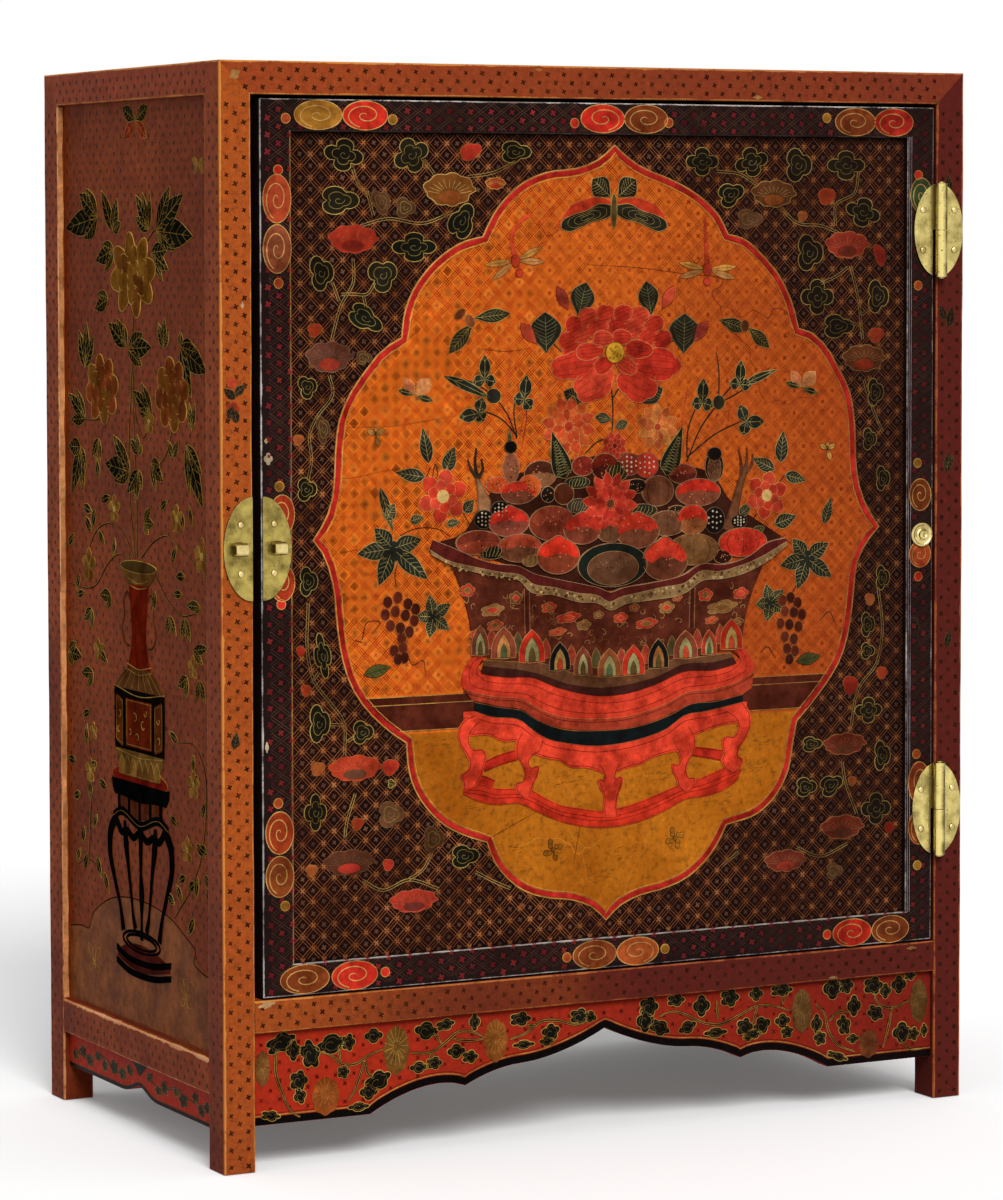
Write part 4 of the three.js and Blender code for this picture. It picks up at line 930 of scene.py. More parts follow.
# Stems first, then what stands on them
for paths, colour, width in (
        ([[234,512, 226,530, 215,543, 198,553, 176,558], [233,515, 222,526, 205,532, 192,530],
            [234,513, 232,535, 240,552], [216,543, 211,552, 208,562], [375,492, 386,515, 402,535, 418,552],
            [375,495, 400,512, 425,522], [375,495, 376,515, 386,538], [402,535, 402,560, 400,572],
            [402,534, 425,545, 446,560]], "2c3024", 1.8),
        ([[236,512, 241,530, 256,545, 272,558], [238,505, 242,530, 240,545], [234,500, 226,545, 230,575],
            [372,500, 371,520, 376,548], [410,520, 412,545, 404,565]], "c8502c", 1.4),
        ([[312,546, 313,530, 312,512], [313,540, 320,548, 332,545], [258,590, 264,580, 272,573],
            [372,588, 362,580, 350,573], [290,500, 300,508, 318,512]], "30301f", 1.8),
        ([[174,472, 190,460, 198,448, 212,440], [166,486, 168,495, 172,478], [161,486, 165,494],
            [443,465, 435,452, 425,440], [140,445, 150,449, 160,450, 172,448, 180,443],
            [440,437, 452,436, 465,428], [138,425, 136,418, 137,408], [470,398, 465,390, 462,382],
            [110,372, 114,384, 124,384, 118,376], [110,370, 104,372], [145,362, 150,352, 158,355, 160,345],
            [450,345, 444,352, 438,348], [490,370, 498,376, 503,368], [459,480, 452,472, 445,466],
            [142,360, 144,372, 140,382]], "3a2c1c", 1.1)):
    for path in paths:
        lay(leafPen, ribbon(curve(path, 18), width, 0.16, 0.34, (1, 0.5)), colour)

# Leaves of the two side sprays and the two long twigs: a middle, the tips round it, a width, a start
leaves(leafPen, [(175, 558, 44, 7, -24), (424, 548, 30, 6, 20)], ink, veins=2, bend=0.08)
threeLobed = [
    ((208, 555), [208,573, 198,553, 217,553], 9), ((203, 531), [187,528, 206,542, 207,525], 10),
    ((240, 540), [242,558, 231,541, 246,533], 10), ((420, 548), [421,566, 411,549, 430,547], 9),
    ((388, 535), [389,553, 379,534, 397,532], 10), ((425, 520), [441,520, 420,533, 423,510], 10)]
leaves(leafPen, np.concatenate([toTips(*star) for star in threeLobed]), ink, veins=2, fat=0.95)
knuckles = placed(disc, [(215, 543, 12, 11), (402, 535, 10, 11)])
outlined(leafPen, knuckles, "32322a", goldLine, base=0.5, width=0.6)
sprayLeaves = [(163, 496, 26, 10, 101), (176, 489, 20, 11, 68), (160, 486, 24, 10, 170),
    (148, 455, 11, 7, 15), (191, 460, 12, 9, 48), (177, 452, 11, 6, 8), (455, 489, 24, 11, 84),
    (450, 484, 21, 10, 155), (459, 480, 19, 9, -15), (420, 451, 13, 8, 40), (450, 443, 20, 11, 18),
    (431, 437, 12, 7, 24), (493, 442, 21, 8, 72)]
leaves(leafPen, sprayLeaves, "2c3028 34362a")
fiveLobed = [((134, 436), [120,451, 106,433, 123,410, 162,413, 157,442], 13, 0.03),
             ((478, 417), [466,432, 455,412, 470,394, 500,402, 497,428], 12, 0.03),
             ((166, 386), [163,402, 153,387, 163,371, 179,376, 180,395], 9, 0.02),
             ((446, 385), [443,399, 434,384, 444,371, 458,378, 458,394], 9, 0.02)]
leaves(leafPen, np.concatenate([toTips(*star) for star in fiveLobed]), ink, fat=0.85)
outlined(leafPen, placed(disc, [(134, 434, 17, 15), (478, 416, 15, 14), (166, 386, 12, 11),
    (446, 385, 11, 11)]), "282c22", None, base=0.52)
leaves(leafPen, [(124, 480, 34, 7, -72), (129, 456, 14, 11, 60)], "2e2a20 3a3426", bend=0.04)
leaves(leafPen, [(111, 347, 22, 9, 12), (469, 340, 22, 9, 8)], "5a5a2c 50502a", "2a2c1c", 4, fat=0.9)

grapes = [(130, 398), (138, 401), (146, 396), (128, 389), (136, 391), (144, 388), (151, 384), (132, 381),
    (140, 379), (147, 376), (141, 372), (152, 392), (135, 363), (142, 365), (138, 357), (143, 358),
    (457, 386), (464, 388), (470, 384), (459, 378), (467, 377), (474, 375), (455, 369), (463, 368),
    (471, 366), (459, 359), (467, 357), (461, 350), (468, 348), (463, 342)]
grapes = placed(disc, [(u, v, 7.4, 8.6) for u, v in grapes])
outlined(fruitPen, grapes, "5a2418 6a2c1c 4c2016", "b8743a", 0.35, 0.45, 0.5)

# Large leaves beside the peony, hatched in gold
hatched = [(258, 573, 30, 26, 92), (284, 599, 26, 20, 75), (345, 599, 26, 17, 100), (372, 571, 30, 26, 88),
    (292, 536, 22, 13, 155), (333, 536, 24, 14, 25), (312, 524, 14, 8, 170), (314, 518, 12, 7, 20)]
leaves(leafPen, hatched, "22241c 282a20", "8c8050", 7, fat=1.25)
redTips = [(250, 580, 20, 10, 130), (276, 604, 20, 9, 118), (354, 604, 20, 9, 60), (380, 580, 20, 10, 50)]
outlined(flowerPen, placed(leafShape(0, 1.1), redTips), "b8442c a84030", "7c2c1c", base=0.45, width=0.5)

# The peony: a ruff of small lobes behind, four broad petals below, and inner petals round a gold eye
petal = leafShape(0, 1.55, 11)
peony = {"at": (314, 573), "reds": "c83824 bc3020 d2442c", "streak": "8c2418", "eye": "d8a432"}
ruff = [(-38, 9, 17, 14), (-33, 20, 16, 15), (-22, 26, 17, 15), (-8, 28, 17, 14), (7, 28, 17, 14),
    (21, 26, 17, 15), (33, 20, 17, 15), (40, 9, 17, 15), (-27, 14, 19, 15), (-14, 18, 19, 15),
    (2, 19, 18, 14), (16, 17, 19, 15), (28, 11, 18, 15), (-34, 2, 19, 13)]
broad = [(-33, -9, 41, 21, 8), (35, -9, 42, 25, -6), (-17, -22, 36, 27, 28), (19, -22, 36, 29, -26)]
inner = [(-21, 1, 24, 13, 5), (20, 2, 24, 14, -5), (-10, 10, 17, 13, 0), (6, 11, 17, 12, 0),
    (-9, -9, 18, 13, 30), (10, -10, 19, 13, -30)]
for rows, lobes, line, lift in ((ruff, 3, "d87c50", 0.42), (broad, 5, "dc8858", 0.6),
        (inner, 3, "dc8858", 0.85)):
    heads = [(peony["at"][0] + u, peony["at"][1] + v, w, h, *(turn or [20])) for u, v, w, h, *turn in rows]
    outlined(flowerPen, placed(ruffled(lobes, 0.13, 30), heads), peony["reds"], line, 0.3, lift, 0.7)
    for share in (-0.24, -0.08, 0.08, 0.24):
        streak = np.array([[-0.34, share], [0.0, share * 1.3], [0.34, share * 1.1]])
        fine(placed(streak, heads), 0.4, 0.08, lift + 0.44, peony["streak"])
outlined(flowerPen, placed(disc, [(*peony["at"], 15, 15)]), peony["eye"], "a87820", 0.5, 1.2, 0.6)
pollen = np.array(peony["at"]) + chance.uniform(-5, 5, (14, 2))
lay(finePen, studs(pollen, disc[::3], 1.6, 2.1, 0.2), "b07c20")

smallFlowers = (  # middle, number, length and width of petals, base, colours, eye, line
    ((276, 520), 12, 21, 9, 0.5, "c84c28 cc5c2c b84424", "b83828", "dca058"),
    ((350, 518), 10, 16, 7, 0.5, "cc6a34 c05c30 d07c3c", "b84428", "e0b060"),
    ((314, 505), 8, 9, 5, 0.5, "b83424 a83020", "7c2018", "d87850"),
    ((174, 472), 6, 19, 12, 0.5, "cc3c26 d44830", "e0b870", "e8a060"),
    ((443, 465), 6, 17, 11, 0.5, "c83c26 d04830", "e0b870", "e8a060"),
    ((310, 463), 14, 22, 8, 1.5, "c03426 d0402c a82c20", "5c3420", "dc7c50"),
    ((263, 212), 4, 7, 4, 0.5, "b07020", "8c5418", "5c3c14"),
    ((365, 214), 4, 7, 4, 0.5, "b07020", "8c5418", "5c3c14"))
for middle, count, length, width, base, colours, eyeColour, line in smallFlowers:
    outer = ring(middle, count, length, width, 20, 1.5)
    nearer = ring(middle, count, length * 0.6, width * 0.75, 40, 1)
    outlined(flowerPen, placed(petal, outer), colours, line, 0.26, base, 0.5)
    outlined(flowerPen, placed(petal, nearer), colours, line, 0.26, base + 0.2, 0.4)
    eyes = placed(disc, [(*middle, width * 0.8, width * 0.8)])
    outlined(flowerPen, eyes, eyeColour, line, 0.4, base + 0.25, 0.4)

# Fruit, from the back of the heap to the front. Round, or crowned by a point like a pomegranate
roundFruit = polar(lambda a: 0.5 * (1 + 0.03 * np.cos(2 * a)), 34)
crowned = polar(lambda a: 0.5 * (1 + 0.2 * np.exp(-((a - np.pi / 2) / 0.2) ** 2)), 34)
heap = [167,439, 190,445, 203,462, 222,482, 250,490, 290,497, 330,498, 365,490, 397,482, 412,462, 438,445,
    457,432, 430,424, 386,413, 350,404, 310,399, 270,407, 230,420, 190,432]
lay(fruitPen, blot(curve(heap, 70), 0.2, 0.36, 0.2, np.array([310.0, 442.0])), "3a1c12")
# u, v, width, height and body, then where it has them its finish, its cap's colour, and 1 for a crown
fruit = [
    (229, 491, 13, 22, "8c5238"), (398, 488, 15, 24, "241a14", "heart"),
    (253, 486, 26, 20, "8c5c3c", "plain", "4c2418"), (288, 491, 18, 15, "8c2c20"),
    (306, 490, 22, 20, "4a1812", "plain", "7c2418"), (326, 491, 19, 17, "7c2c1c", "dots"),
    (341, 490, 19, 19, "b03424", "dots"), (314, 486, 22, 16, "342c18", "net"),
    (371, 483, 23, 15, "5c2418", "lines", "7c3020"), (218, 479, 18, 12, "d05024"),
    (244, 477, 18, 18, "cc5c28"), (235, 473, 28, 17, "7c4430", "plain", "cc3424"),
    (259, 471, 11, 12, "1c1814"), (283, 479, 20, 9, "242c20", "net"), (272, 471, 16, 16, "64301c", "lines"),
    (284, 462, 18, 11, "3c3830", "net"), (332, 475, 18, 11, "1c1814"),
    (350, 471, 26, 23, "74442c", "lines"), (384, 469, 37, 21, "8c4c34", "plain", "cc3020"),
    (366, 456, 14, 8, "2c201a"), (337, 457, 24, 10, "262c20", "net"),
    (206.5, 454.5, 15, 14, "15110e", "dots"), (220, 461, 15, 13, "15110e", "dots"),
    (398, 448, 17, 20, "15110e", "dots"), (419, 446.5, 13, 10, "15110e", "dots"),
    (227, 452, 33, 21, "8c4434", "plain", "cc3224", 1), (262, 450, 36, 26, "7c3422", "plain", "8c3c28"),
    (358, 447, 31, 19, "744a30", "lines"), (379, 449, 25, 23, "a05c34", "plain", "d03422"),
    (310, 442, 21, 15, "744a30", "lines"), (287, 445, 31, 22, "84402c", "plain", "c03424", 1),
    (333, 442, 36, 25, "74402a", "plain", "cc3824", 1), (213, 431, 22, 11, "1c1c16", "net"),
    (202, 438, 35, 18, "94402a", "plain", "7c3424"), (235.5, 433, 35, 21, "74442c", "lines", "a04028"),
    (405, 421, 15, 11, "34180f"), (244, 424, 13, 10, "8c6c40", "lines"),
    (380, 427, 41, 24, "7c542f", "lines"), (422, 431, 40, 22, "cc3424", "lines", "d43a26"),
    (267, 426, 35, 26, "8c4028", "plain", "d83420", 1), (356, 420, 38, 30, "703c28", "plain", "cc3a26", 1),
    (312, 418, 56, 33, "18201a", "melon")]
level = 0.55
for u, v, width, height, body, *more in fruit:
    finish, cap, pointed = more + ["plain", None, 0][len(more):]
    row, shape = [(u, v, width, height)], crowned if pointed else roundFruit
    rim = "6c5848" if finish == "dots" else "b88c64"
    outlined(fruitPen, placed(shape, row), body, rim, 0.3, level, 0.7, 1.1)
    spread = chance.normal(0, 0.17, (16, 2)) * (width, height) + (u, v)
    if cap:  # the cap follows the fruit's own outline above a wavy line
        top = shape * 0.95
        top[:, 1] = np.maximum(top[:, 1], 0.06 * np.sin(top[:, 0] * 19 + u))
        lay(fruitPen, blot(placed(top, row), 0.24, level + 0.26, 0.7), cap)
        lay(finePen, studs(spread, grain, 1.2, level + 0.78, 0.12), "d88058 64281a b84c30")
    if finish == "dots":
        steps = np.linspace(-0.3, 0.3, 4)
        across, up = (way.ravel() for way in np.meshgrid(steps, steps))
        grid = np.column_stack([across, up + 0.04 * (np.arange(16) % 2)])[np.hypot(across, up) < 0.4]
        lay(finePen, studs(grid * (width, height) + (u, v), grain, 1.6, level + 0.62, 0.2), "d8c4a4")
    elif finish in ("net", "lines"):
        number, slant, colour = (6, 0.06, "b89c58") if finish == "net" else (3, 0, "4c2414")
        for share in np.linspace(-0.3, 0.3, number):
            bow = np.array([[share * 0.9 - slant, -0.32], [share * 1.15, 0.0], [share * 0.9 + slant, 0.32]])
            fine(curve(placed(bow, row)[0], 8), 0.55, 0.12, level + 0.56, colour)
    elif finish in ("melon", "heart"):
        inner = [(u, v - height * 0.07, width * 0.74, height * 0.78)]
        outlined(fruitPen, placed(roundFruit, inner), "6c4630", "a88858", 0.2, level + 0.4, 0.6)
        lay(finePen, studs(spread, grain, 1.1, level + 0.95, 0.12), "a87c58 44281a")
    elif not cap:
        lay(finePen, studs(spread, grain, 1.0, level + 0.75, 0.12), "c88858 4c2414")
    level += 0.028
seeds = placed(disc, [(228.6, 506, 10, 9), (398, 497, 12, 10)])
outlined(fruitPen, seeds, "15130f", "8c7048", 0.35, 0.9, 0.5)
leaves(leafPen, [(228, 509, 9, 3, 92)], "15130f", veins=1, base=0.9)
for foot, tip in (((273, 482), (262, 517)), ((357, 482), (371, 518))):  # two netted horns
    horn = toTips(foot, [tip], 16)
    outlined(leafPen, placed(leafShape(0, 0.5), horn), "1c201a", "a89858", 0.3, 0.95, 0.6)
    for t in np.linspace(0.08, 0.74, 12):
        net = np.array([[t, -0.4 * (1 - t)], [t + 0.05, 0.4 * (1 - t)]])
        fine(np.concatenate([placed(net, horn), placed(net * [1, -1], horn)]), 0.45, 0.1, 1.4, "a89858")


def limb(pen, middle, widths, colour, base=0.9, height=0.28, line=None, number=24):
    # A strip of changing width along a curve, with a fine line inside each edge where one is given
    path = curve(middle, number)
    half = np.interp(np.linspace(0, 1, number), np.linspace(0, 1, len(widths)), widths)[:, None] / 2
    aside = besides(path, 1)
    lay(pen, band(path + aside * half, path - aside * half, height, base, 0.3), colour)
    if line:
        edges = np.stack([path + aside * (half - 0.6), path - aside * (half - 0.6)])
        fine(edges, 0.55, height + 0.08, base + 0.05, line)


# A finger-shaped citron at each end of the heap
limb(fruitPen, [208,456, 207,466, 203,480, 201,486], [9, 11, 6, 3], "9c6c48", 0.9, line="5c3c24")
for middle in ([202,484, 196,492, 194,498], [202,484, 200,494, 201,506], [202,484, 206,490, 205,498]):
    limb(fruitPen, middle, [3, 2, 1], "3c3424", 0.92)
limb(fruitPen, [409,440, 414,452, 419,470, 424,484], [9, 8, 6, 5], "7c4c30", 0.95, line="4c2c1a")
for middle in ([422,480, 421,490, 419,500], [424,482, 426,492, 426,501], [424,482, 430,488, 431,496]):
    limb(fruitPen, middle, [4, 2, 1], "6c4028", 0.96)

# The bowl: a maroon body in three faces, a lip that dips and rises, and arched petals round its base
lip = curve([166,441, 186,433, 201,426.5, 217,422, 234,420, 247,414, 263,410, 288,404.6, 301,401.5, 310,398,
    318,400.4, 342,403.5, 372,409, 386,416, 405,415, 426,420, 443,430, 459,433], 76)
gilt = curve([163,434, 176,426.5, 197,421, 220,416, 237,413, 245,407, 263,403.5, 284,398.3, 299,396.3,
    309,391, 317.5,394, 336,397.3, 355,400.4, 372,402.5, 386,411, 401,410, 417,413, 436,419, 459,430], 76)
giltLow = curve([164,431, 180,423, 207,415, 236,408.8, 243,401.5, 263,398, 284,392, 301,390, 309,385,
    321.7,389, 342,391, 374,396, 386,403.5, 405,404.6, 426,409, 442,416, 460,428], 76)
foot = curve([198,359, 215,354, 243,350, 262,344, 285,339, 305,336.5, 328,337, 350,342, 371,348, 392,349,
    421,356], 60)
onBowl = lambda u: np.interp(u, giltLow[:, 0], giltLow[:, 1])
bodyTop = np.column_stack([np.linspace(179, 442, 60), onBowl(np.linspace(179, 442, 60)) + 2])
swell = np.stack([np.sin(np.linspace(-1.3, 1.3, 60)) * -4, np.zeros(60)], 1)
bulge = lambda s: bodyTop * (1 - s) + foot * s + swell * np.sin(np.pi * s)
for row in range(6):
    lay(potPen, band(bulge((row + 1) / 6), bulge(row / 6), 0.3, 1.5, 0.02), "5e2a1c")
lay(potPen, band(gilt - [0, 1], lip, 0.35, 2.15, 0.1), "5a1f1a")
lay(potPen, band(giltLow, gilt, 0.4, 2.2, 0.5), "94744a")
for path, colour in ((lip, "b88c68"), (gilt, "c0a070"), (giltLow, "b89868")):
    fine(path, 0.7, 0.5, 2.3, colour)
specks = chance.uniform(170, 452, 150)
specks = np.column_stack([specks, np.interp(specks, gilt[:, 0], gilt[:, 1]) - chance.uniform(1.2, 5, 150)])
lay(finePen, studs(specks, grain, 2.4, 2.74, 0.12), "c8a878 54341c b09058 6c4826")
for u, low in ((241, 371), (379, 369)):  # the two upright edges between the bowl's faces
    side = curve([(u, onBowl(u)), (u + (307 - u) * 0.01, low)], 10)
    fine(side, 4.2, 0.15, 1.82, "4a1c16")
    fine([side + [2.1, 0], side - [2.1, 0]], 0.6, 0.25, 1.85, "a87c50")
potFlowers = [(193, 404, 12, 10), (213, 389, 20, 9), (215, 378, 14, 8), (232, 397, 11, 10),
    (259, 389, 13, 8), (275, 381, 22, 8), (288, 375, 12, 8), (266, 371, 16, 6), (300, 382, 9, 6),
    (318.5, 379, 13, 8), (340, 374, 20, 8), (357, 385, 14, 9), (366, 392, 9, 6), (330, 386, 9, 6),
    (390, 393, 13, 10), (420, 393, 14, 9), (404, 383.5, 28, 10), (395, 374, 12, 6), (417, 372, 12, 6),
    (200, 372, 10, 8), (252, 400, 8, 5)]
bowlColours = "c03a28 8c6438 b84a2c 7c4a2c c43c26"
outlined(potPen, placed(ruffled(5, 0.32, 26), potFlowers, 8), bowlColours, "b89058", 0.2, 1.82, 0.5)
hearts = placed(ruffled(4, 0.3, 18), resized(potFlowers, 0.5, 0.5))
outlined(potPen, hearts, "8c5c30 c8402c", "c8a060", 0.15, 2.05, 0.4)
spots = chance.uniform(190, 430, 90)
spots = np.column_stack([spots, onBowl(spots) - chance.uniform(6, 36, 90)])
curlTurn = np.linspace(0.3, 4.4, 14)
curl = np.stack([0.11 * curlTurn * np.cos(curlTurn), 0.11 * curlTurn * np.sin(curlTurn)], 1)
curls = [chance.uniform(low, high, 90) for low, high in ((5, 9), (5, 8), (0, 360))]
curls = np.column_stack([spots, *curls])
fine(placed(curl, curls), 0.6, 0.12, 1.84, "b08850 8c5c34 c09858 9c4c30")

arch = np.reshape([0.5,0, 0.5,0.34, 0.42,0.6, 0.25,0.83, 0,1.03, -0.25,0.83, -0.42,0.6, -0.5,0.34, -0.5,0,
    0,-0.03], (-1, 2))
arches = [(203, 357, 14, 21, "7c4030"), (222, 354, 20, 22, "8c4430"), (245, 350, 21, 23, "cc3422"),
    (268, 343, 17, 20, "14181a"), (287, 339, 15, 20, "84402a"), (309, 336.5, 19, 20, "94502c"),
    (329, 337, 19, 21, "cc3422"), (350, 341, 17, 21, "14181a"), (373, 347, 20, 20, "8c4430"),
    (393, 349, 13, 18, "b83c2a"), (412, 352, 19, 22, "cc3422")]
between = [((a[0] + b[0]) / 2, (a[1] + b[1]) / 2 + 6, 8, 14) for a, b in zip(arches[:-1], arches[1:])]
outlined(potPen, placed(arch, between), "b04430 5c5030 a84030", "c09858", 0.2, 1.86, 0.5)
innerColours, inmostColours = "b09050 9c9460 b87c44 a8a070", "54603c c0442c 64502c"
for u, v, width, height, colour in arches:
    outlined(potPen, placed(arch, [(u, v, width, height)]), colour, "c89c60", 0.25, 2.05, 0.6, 0.1)
    inner = placed(arch, [(u, v + 0.5, width * 0.56, height * 0.74)])
    outlined(potPen, inner, innerColours.split()[int(u) % 4], "3c3420", 0.15, 2.3, 0.5)
    inmost = placed(arch, [(u, v + 0.5, width * 0.26, height * 0.45)])
    outlined(potPen, inmost, inmostColours.split()[int(u) % 3], "4c3c20", 0.12, 2.5, 0.4)

ledge = curve([207,353, 242,350, 250,349.5, 267,344, 285,339, 300,337, 317,336, 335,338, 349,342, 371,348,
    382,347.5, 412,349], 60)
ledgeMiddle = curve([206,349, 248,342, 274,333, 301,328.6, 326,330, 349,334.5, 372,342.5, 398,343,
    414,346], 60)
ledgeLow = curve([204,343.5, 223,340, 248,338, 262,332, 280,326.5, 301,322.6, 324,323.3, 349,329, 372,337,
    399,337, 417,341], 60)
lay(potPen, band(ledgeMiddle, ledge, 0.3, 1.5, 0.1), "744a30")
lay(potPen, band(ledgeLow, ledgeMiddle, 0.3, 1.45, 0.1), "44201a")
fine(ledge, 0.6, 0.4, 1.55, "a87c50")

# The painted stand under the bowl: a top with round ends, a black band, an apron, five legs and a floor ring
stand = {"red": "e8462e", "rim": "b0402a", "ring": "d83822", "black": "10191b", "line": "54160f"}
topOuter = curve([203,357, 197,355, 192,349, 189,342.6, 189,335, 199,330, 214,326.5, 239,322.6, 249.5,316.7,
    267,309.5, 285,306.5, 303,305.6, 321,306, 339,309, 357,314, 376,322, 396,322.6, 415,326.5, 428,332,
    432.5,336, 430,343, 423,351.5, 417,355, 411,355], 90)
topInner = curve([207,352, 203,348, 202,343, 207,340, 223,337, 248,335, 262,329, 280,323.5, 301,319.6,
    324,320, 349,326, 372,334, 399,334, 415,338, 420,342, 417,346, 412,350], 90)
lay(standPen, band(topOuter, topInner + [0, 3], 0.3, 1.0, 0.2), stand["red"])
for share in (0.3, 0.84):
    fine(topOuter * (1 - share) + topInner * share, 0.55, 0.36, 1.05, stand["line"])
rimLow = curve([197,324.7, 222,318.5, 237,316, 249.5,308, 267,301.5, 285,298.5, 303,297.4, 331,298.3,
    349,302.4, 365,308, 376,312.2, 399,314.4, 421,317, 430,322], 60)
rimTop = curve([190,333, 199,330, 214,326.5, 239,322.6, 249.5,316.7, 267,309.5, 285,306.5, 303,305.6,
    321,306, 339,309, 357,314, 376,322, 396,322.6, 415,326.5, 432,334], 60)
lay(standPen, band(rimLow, rimTop, 0.28, 0.95, 0.2), stand["rim"])
fine([rimTop - [0, 2.2], rimTop], 0.6, 0.34, 1.2, "7c2c1c c87848")
blackTop = curve([199,323, 223,317.5, 237,315, 249.5,307.5, 267,300.5, 301,297, 331,298, 349,301.7, 365,307,
    376,312, 399,313.5, 422.5,317.5], 60)
blackLow = curve([199,316.5, 212,312, 236,308, 246,300.6, 258,293.5, 276,289, 299,286, 321,287, 339,290,
    357,295.3, 374,305, 389,306.5, 408,309.5, 422.5,312], 60)
lay(standPen, band(blackLow, blackTop, 0.3, 1.05, 0.2), stand["black"])
fine([blackLow, blackTop], 0.5, 0.32, 1.08, "a8683c")
apronLow = curve([190,303, 196,299, 204,299, 212,298, 218,295, 224,293, 233,293, 238,285, 249,282, 258,279,
    269,276.5, 276,272, 292,270, 301,267, 309,264, 317,266, 326,268.5, 335,270, 344,274, 353,276.5, 362,278,
    370,279, 376,288, 383,290, 392,292.6, 400,294.5, 408,296, 418,297, 426,300], 90)
apronTop = np.column_stack([apronLow[:, 0], np.interp(apronLow[:, 0], blackLow[:, 0], blackLow[:, 1])])
lay(standPen, band(apronLow, apronTop, 0.25, 0.9, 0.1), stand["red"])
fine([apronTop - [0, 4.5], apronLow + [0, 1.3]], 0.55, 0.3, 1.0, stand["line"])
ringTop = curve([190,260.5, 201,264, 217,259.5, 232,258.5, 244,257, 257,250, 267,245, 285,241, 301,238,
    317,239, 332,242, 346,246, 367,252.5, 383,256, 399,261, 410,264, 421,262], 70)
ringLow = curve([190,257, 201,251.5, 214,248, 237,247, 249,241, 267,233, 285,228, 303,225.6, 321,226,
    339,229, 358,235.4, 376,242.6, 392,243.5, 408,248, 418,254, 421,260], 70)
lay(standPen, band(ringLow, ringTop, 0.28, 0.8, 0.15), stand["ring"])
for share, colour in ((0.06, "a84028"), (0.4, stand["line"]), (0.62, stand["line"]), (0.95, "8c2c1a")):
    fine(ringLow * (1 - share) + ringTop * share, 0.6, 0.34, 0.82, colour)
for middle in ([206,275.5, 219,280, 233,283], [380,277.5, 392,275.5, 405,273],
        [194,262.5, 204,266, 214,262]):
    limb(standPen, middle, [7, 7.5, 8], "c42e1e", 0.72, line=stand["line"])
legs = [  # left edge and right edge of each leg, from the apron down
    ([199,314, 188.7,308.6, 185.5,301.5, 187,294, 192.3,285, 195,279, 192,273, 187.5,271, 190,265, 190,261],
     [204,309, 197,303, 194.5,298, 194.5,293, 199,288, 206.6,288, 208.5,284, 206.6,278, 205,270, 198,261]),
    ([236,299, 232.5,292, 232.5,284, 238,275, 239.6,268.5, 237,262.5, 231.6,262, 233,257, 238,252],
     [256,292, 252,284, 246.5,282, 243,276.5, 245.5,272.5, 251,274, 250,267, 246.5,260, 243,252]),
    ([300,272, 304,267.6, 305.7,264, 304,259.5, 300.5,261, 301.5,255, 304.8,249.7, 304.8,241, 305.5,233],
     [319,272, 316,267, 314.6,264, 315,260, 320.5,262, 320,256, 317.3,249.7, 315.5,241, 316.5,233]),
    ([362,288, 366,279, 368.5,275, 369,270, 366,267, 362.5,269, 363,263, 366,258, 367,253, 372,248.8],
     [377,297, 382,288, 381,278, 375.5,269, 374.4,262, 377,257.5, 382.5,257, 381.5,253, 379,250, 376,248]),
    ([408,305, 416,300, 419,295, 418,290, 414,286, 406,286.5, 404.8,281, 406.5,274, 404,270, 407,264,
      412,260.5],
     [422.5,312, 428,305, 429.4,296, 425.3,285, 419.5,277, 418.5,271.5, 422.5,269.5, 421,264, 418,261,
      416,260, 415,260])]
for edges in legs:
    leftLine, rightLine = (curve(line, 30) for line in edges)
    lay(standPen, band(leftLine, rightLine, 0.3, 0.98, 0.3), stand["red"])
    inside = [leftLine * 0.93 + rightLine * 0.07, leftLine * 0.07 + rightLine * 0.93]
    fine(inside, 0.6, 0.4, 1.0, stand["line"])
    fine([leftLine, rightLine], 0.6, 0.24, 0.96, "c87040")
# Tufts of ticks on the painted floor
tufts = ((165, 295), (202, 244), (275, 262), (350, 260), (225, 214), (322, 206), (400, 240), (440, 282),
    (300, 190), (430, 262))
ticks = np.concatenate([np.array(spot) + chance.uniform(-1, 1, (12, 2)) * (11, 5) for spot in tufts])
fine(np.stack([ticks, ticks + [3.6, 0.8]], 1), 0.55, 0.06, 0.36, "7c4c18 8c5a20")

# Insects: a butterfly at the top, two dragonflies below it, and small moths and bees
wing = lambda rows, colours, line="a89850", veins=4: leaves(insectPen, rows, colours, line, veins, fat=1.15)
hindWing = curve([-1,2, -11,6, -24,4, -36,-1, -42,-8, -44,-16, -38,-19, -28,-16, -18,-12, -8,-10, -1,-5,
    -1,2], 40)[:-1]
darkEdge = curve([-2,0, -12,1, -23,-4, -34,-7, -43,-12, -44,-16, -38,-19, -28,-16, -18,-12, -8,-10, -1,-5,
    -2,0], 40)[:-1]
place = np.array([314.0, 680.0])
for side, turn in ((1, 140), (-1, 40)):
    outlined(insectPen, hindWing * [side, 1] + place, "c43c22", "d88850", 0.2, 0.45, 0.6)
    outlined(insectPen, darkEdge * [side, 1] + place, "26241a", "b8a060", 0.16, 0.7, 0.6)
    for share in (0.75, 0.5, 0.25):
        middle = darkEdge.mean(0) * (1 - share) + darkEdge * share
        fine(closed(middle * [side, 1] + place), 0.45, 0.08, 0.98, "a08c50")
    wing([(314 - side * 3, 686, 20, 17, turn)], "26241a", "b8a060", 6)
outlined(insectPen, placed(disc, [(313.5, 676, 5, 25)]), "5c4a28", "b8a050", 0.4, 0.8, 0.5)
for feeler in ([312,689, 308,697, 302,700], [315,689, 320,697, 326,700]):
    fine(curve(feeler, 8), 0.5, 0.15, 0.34, "3c2c18")
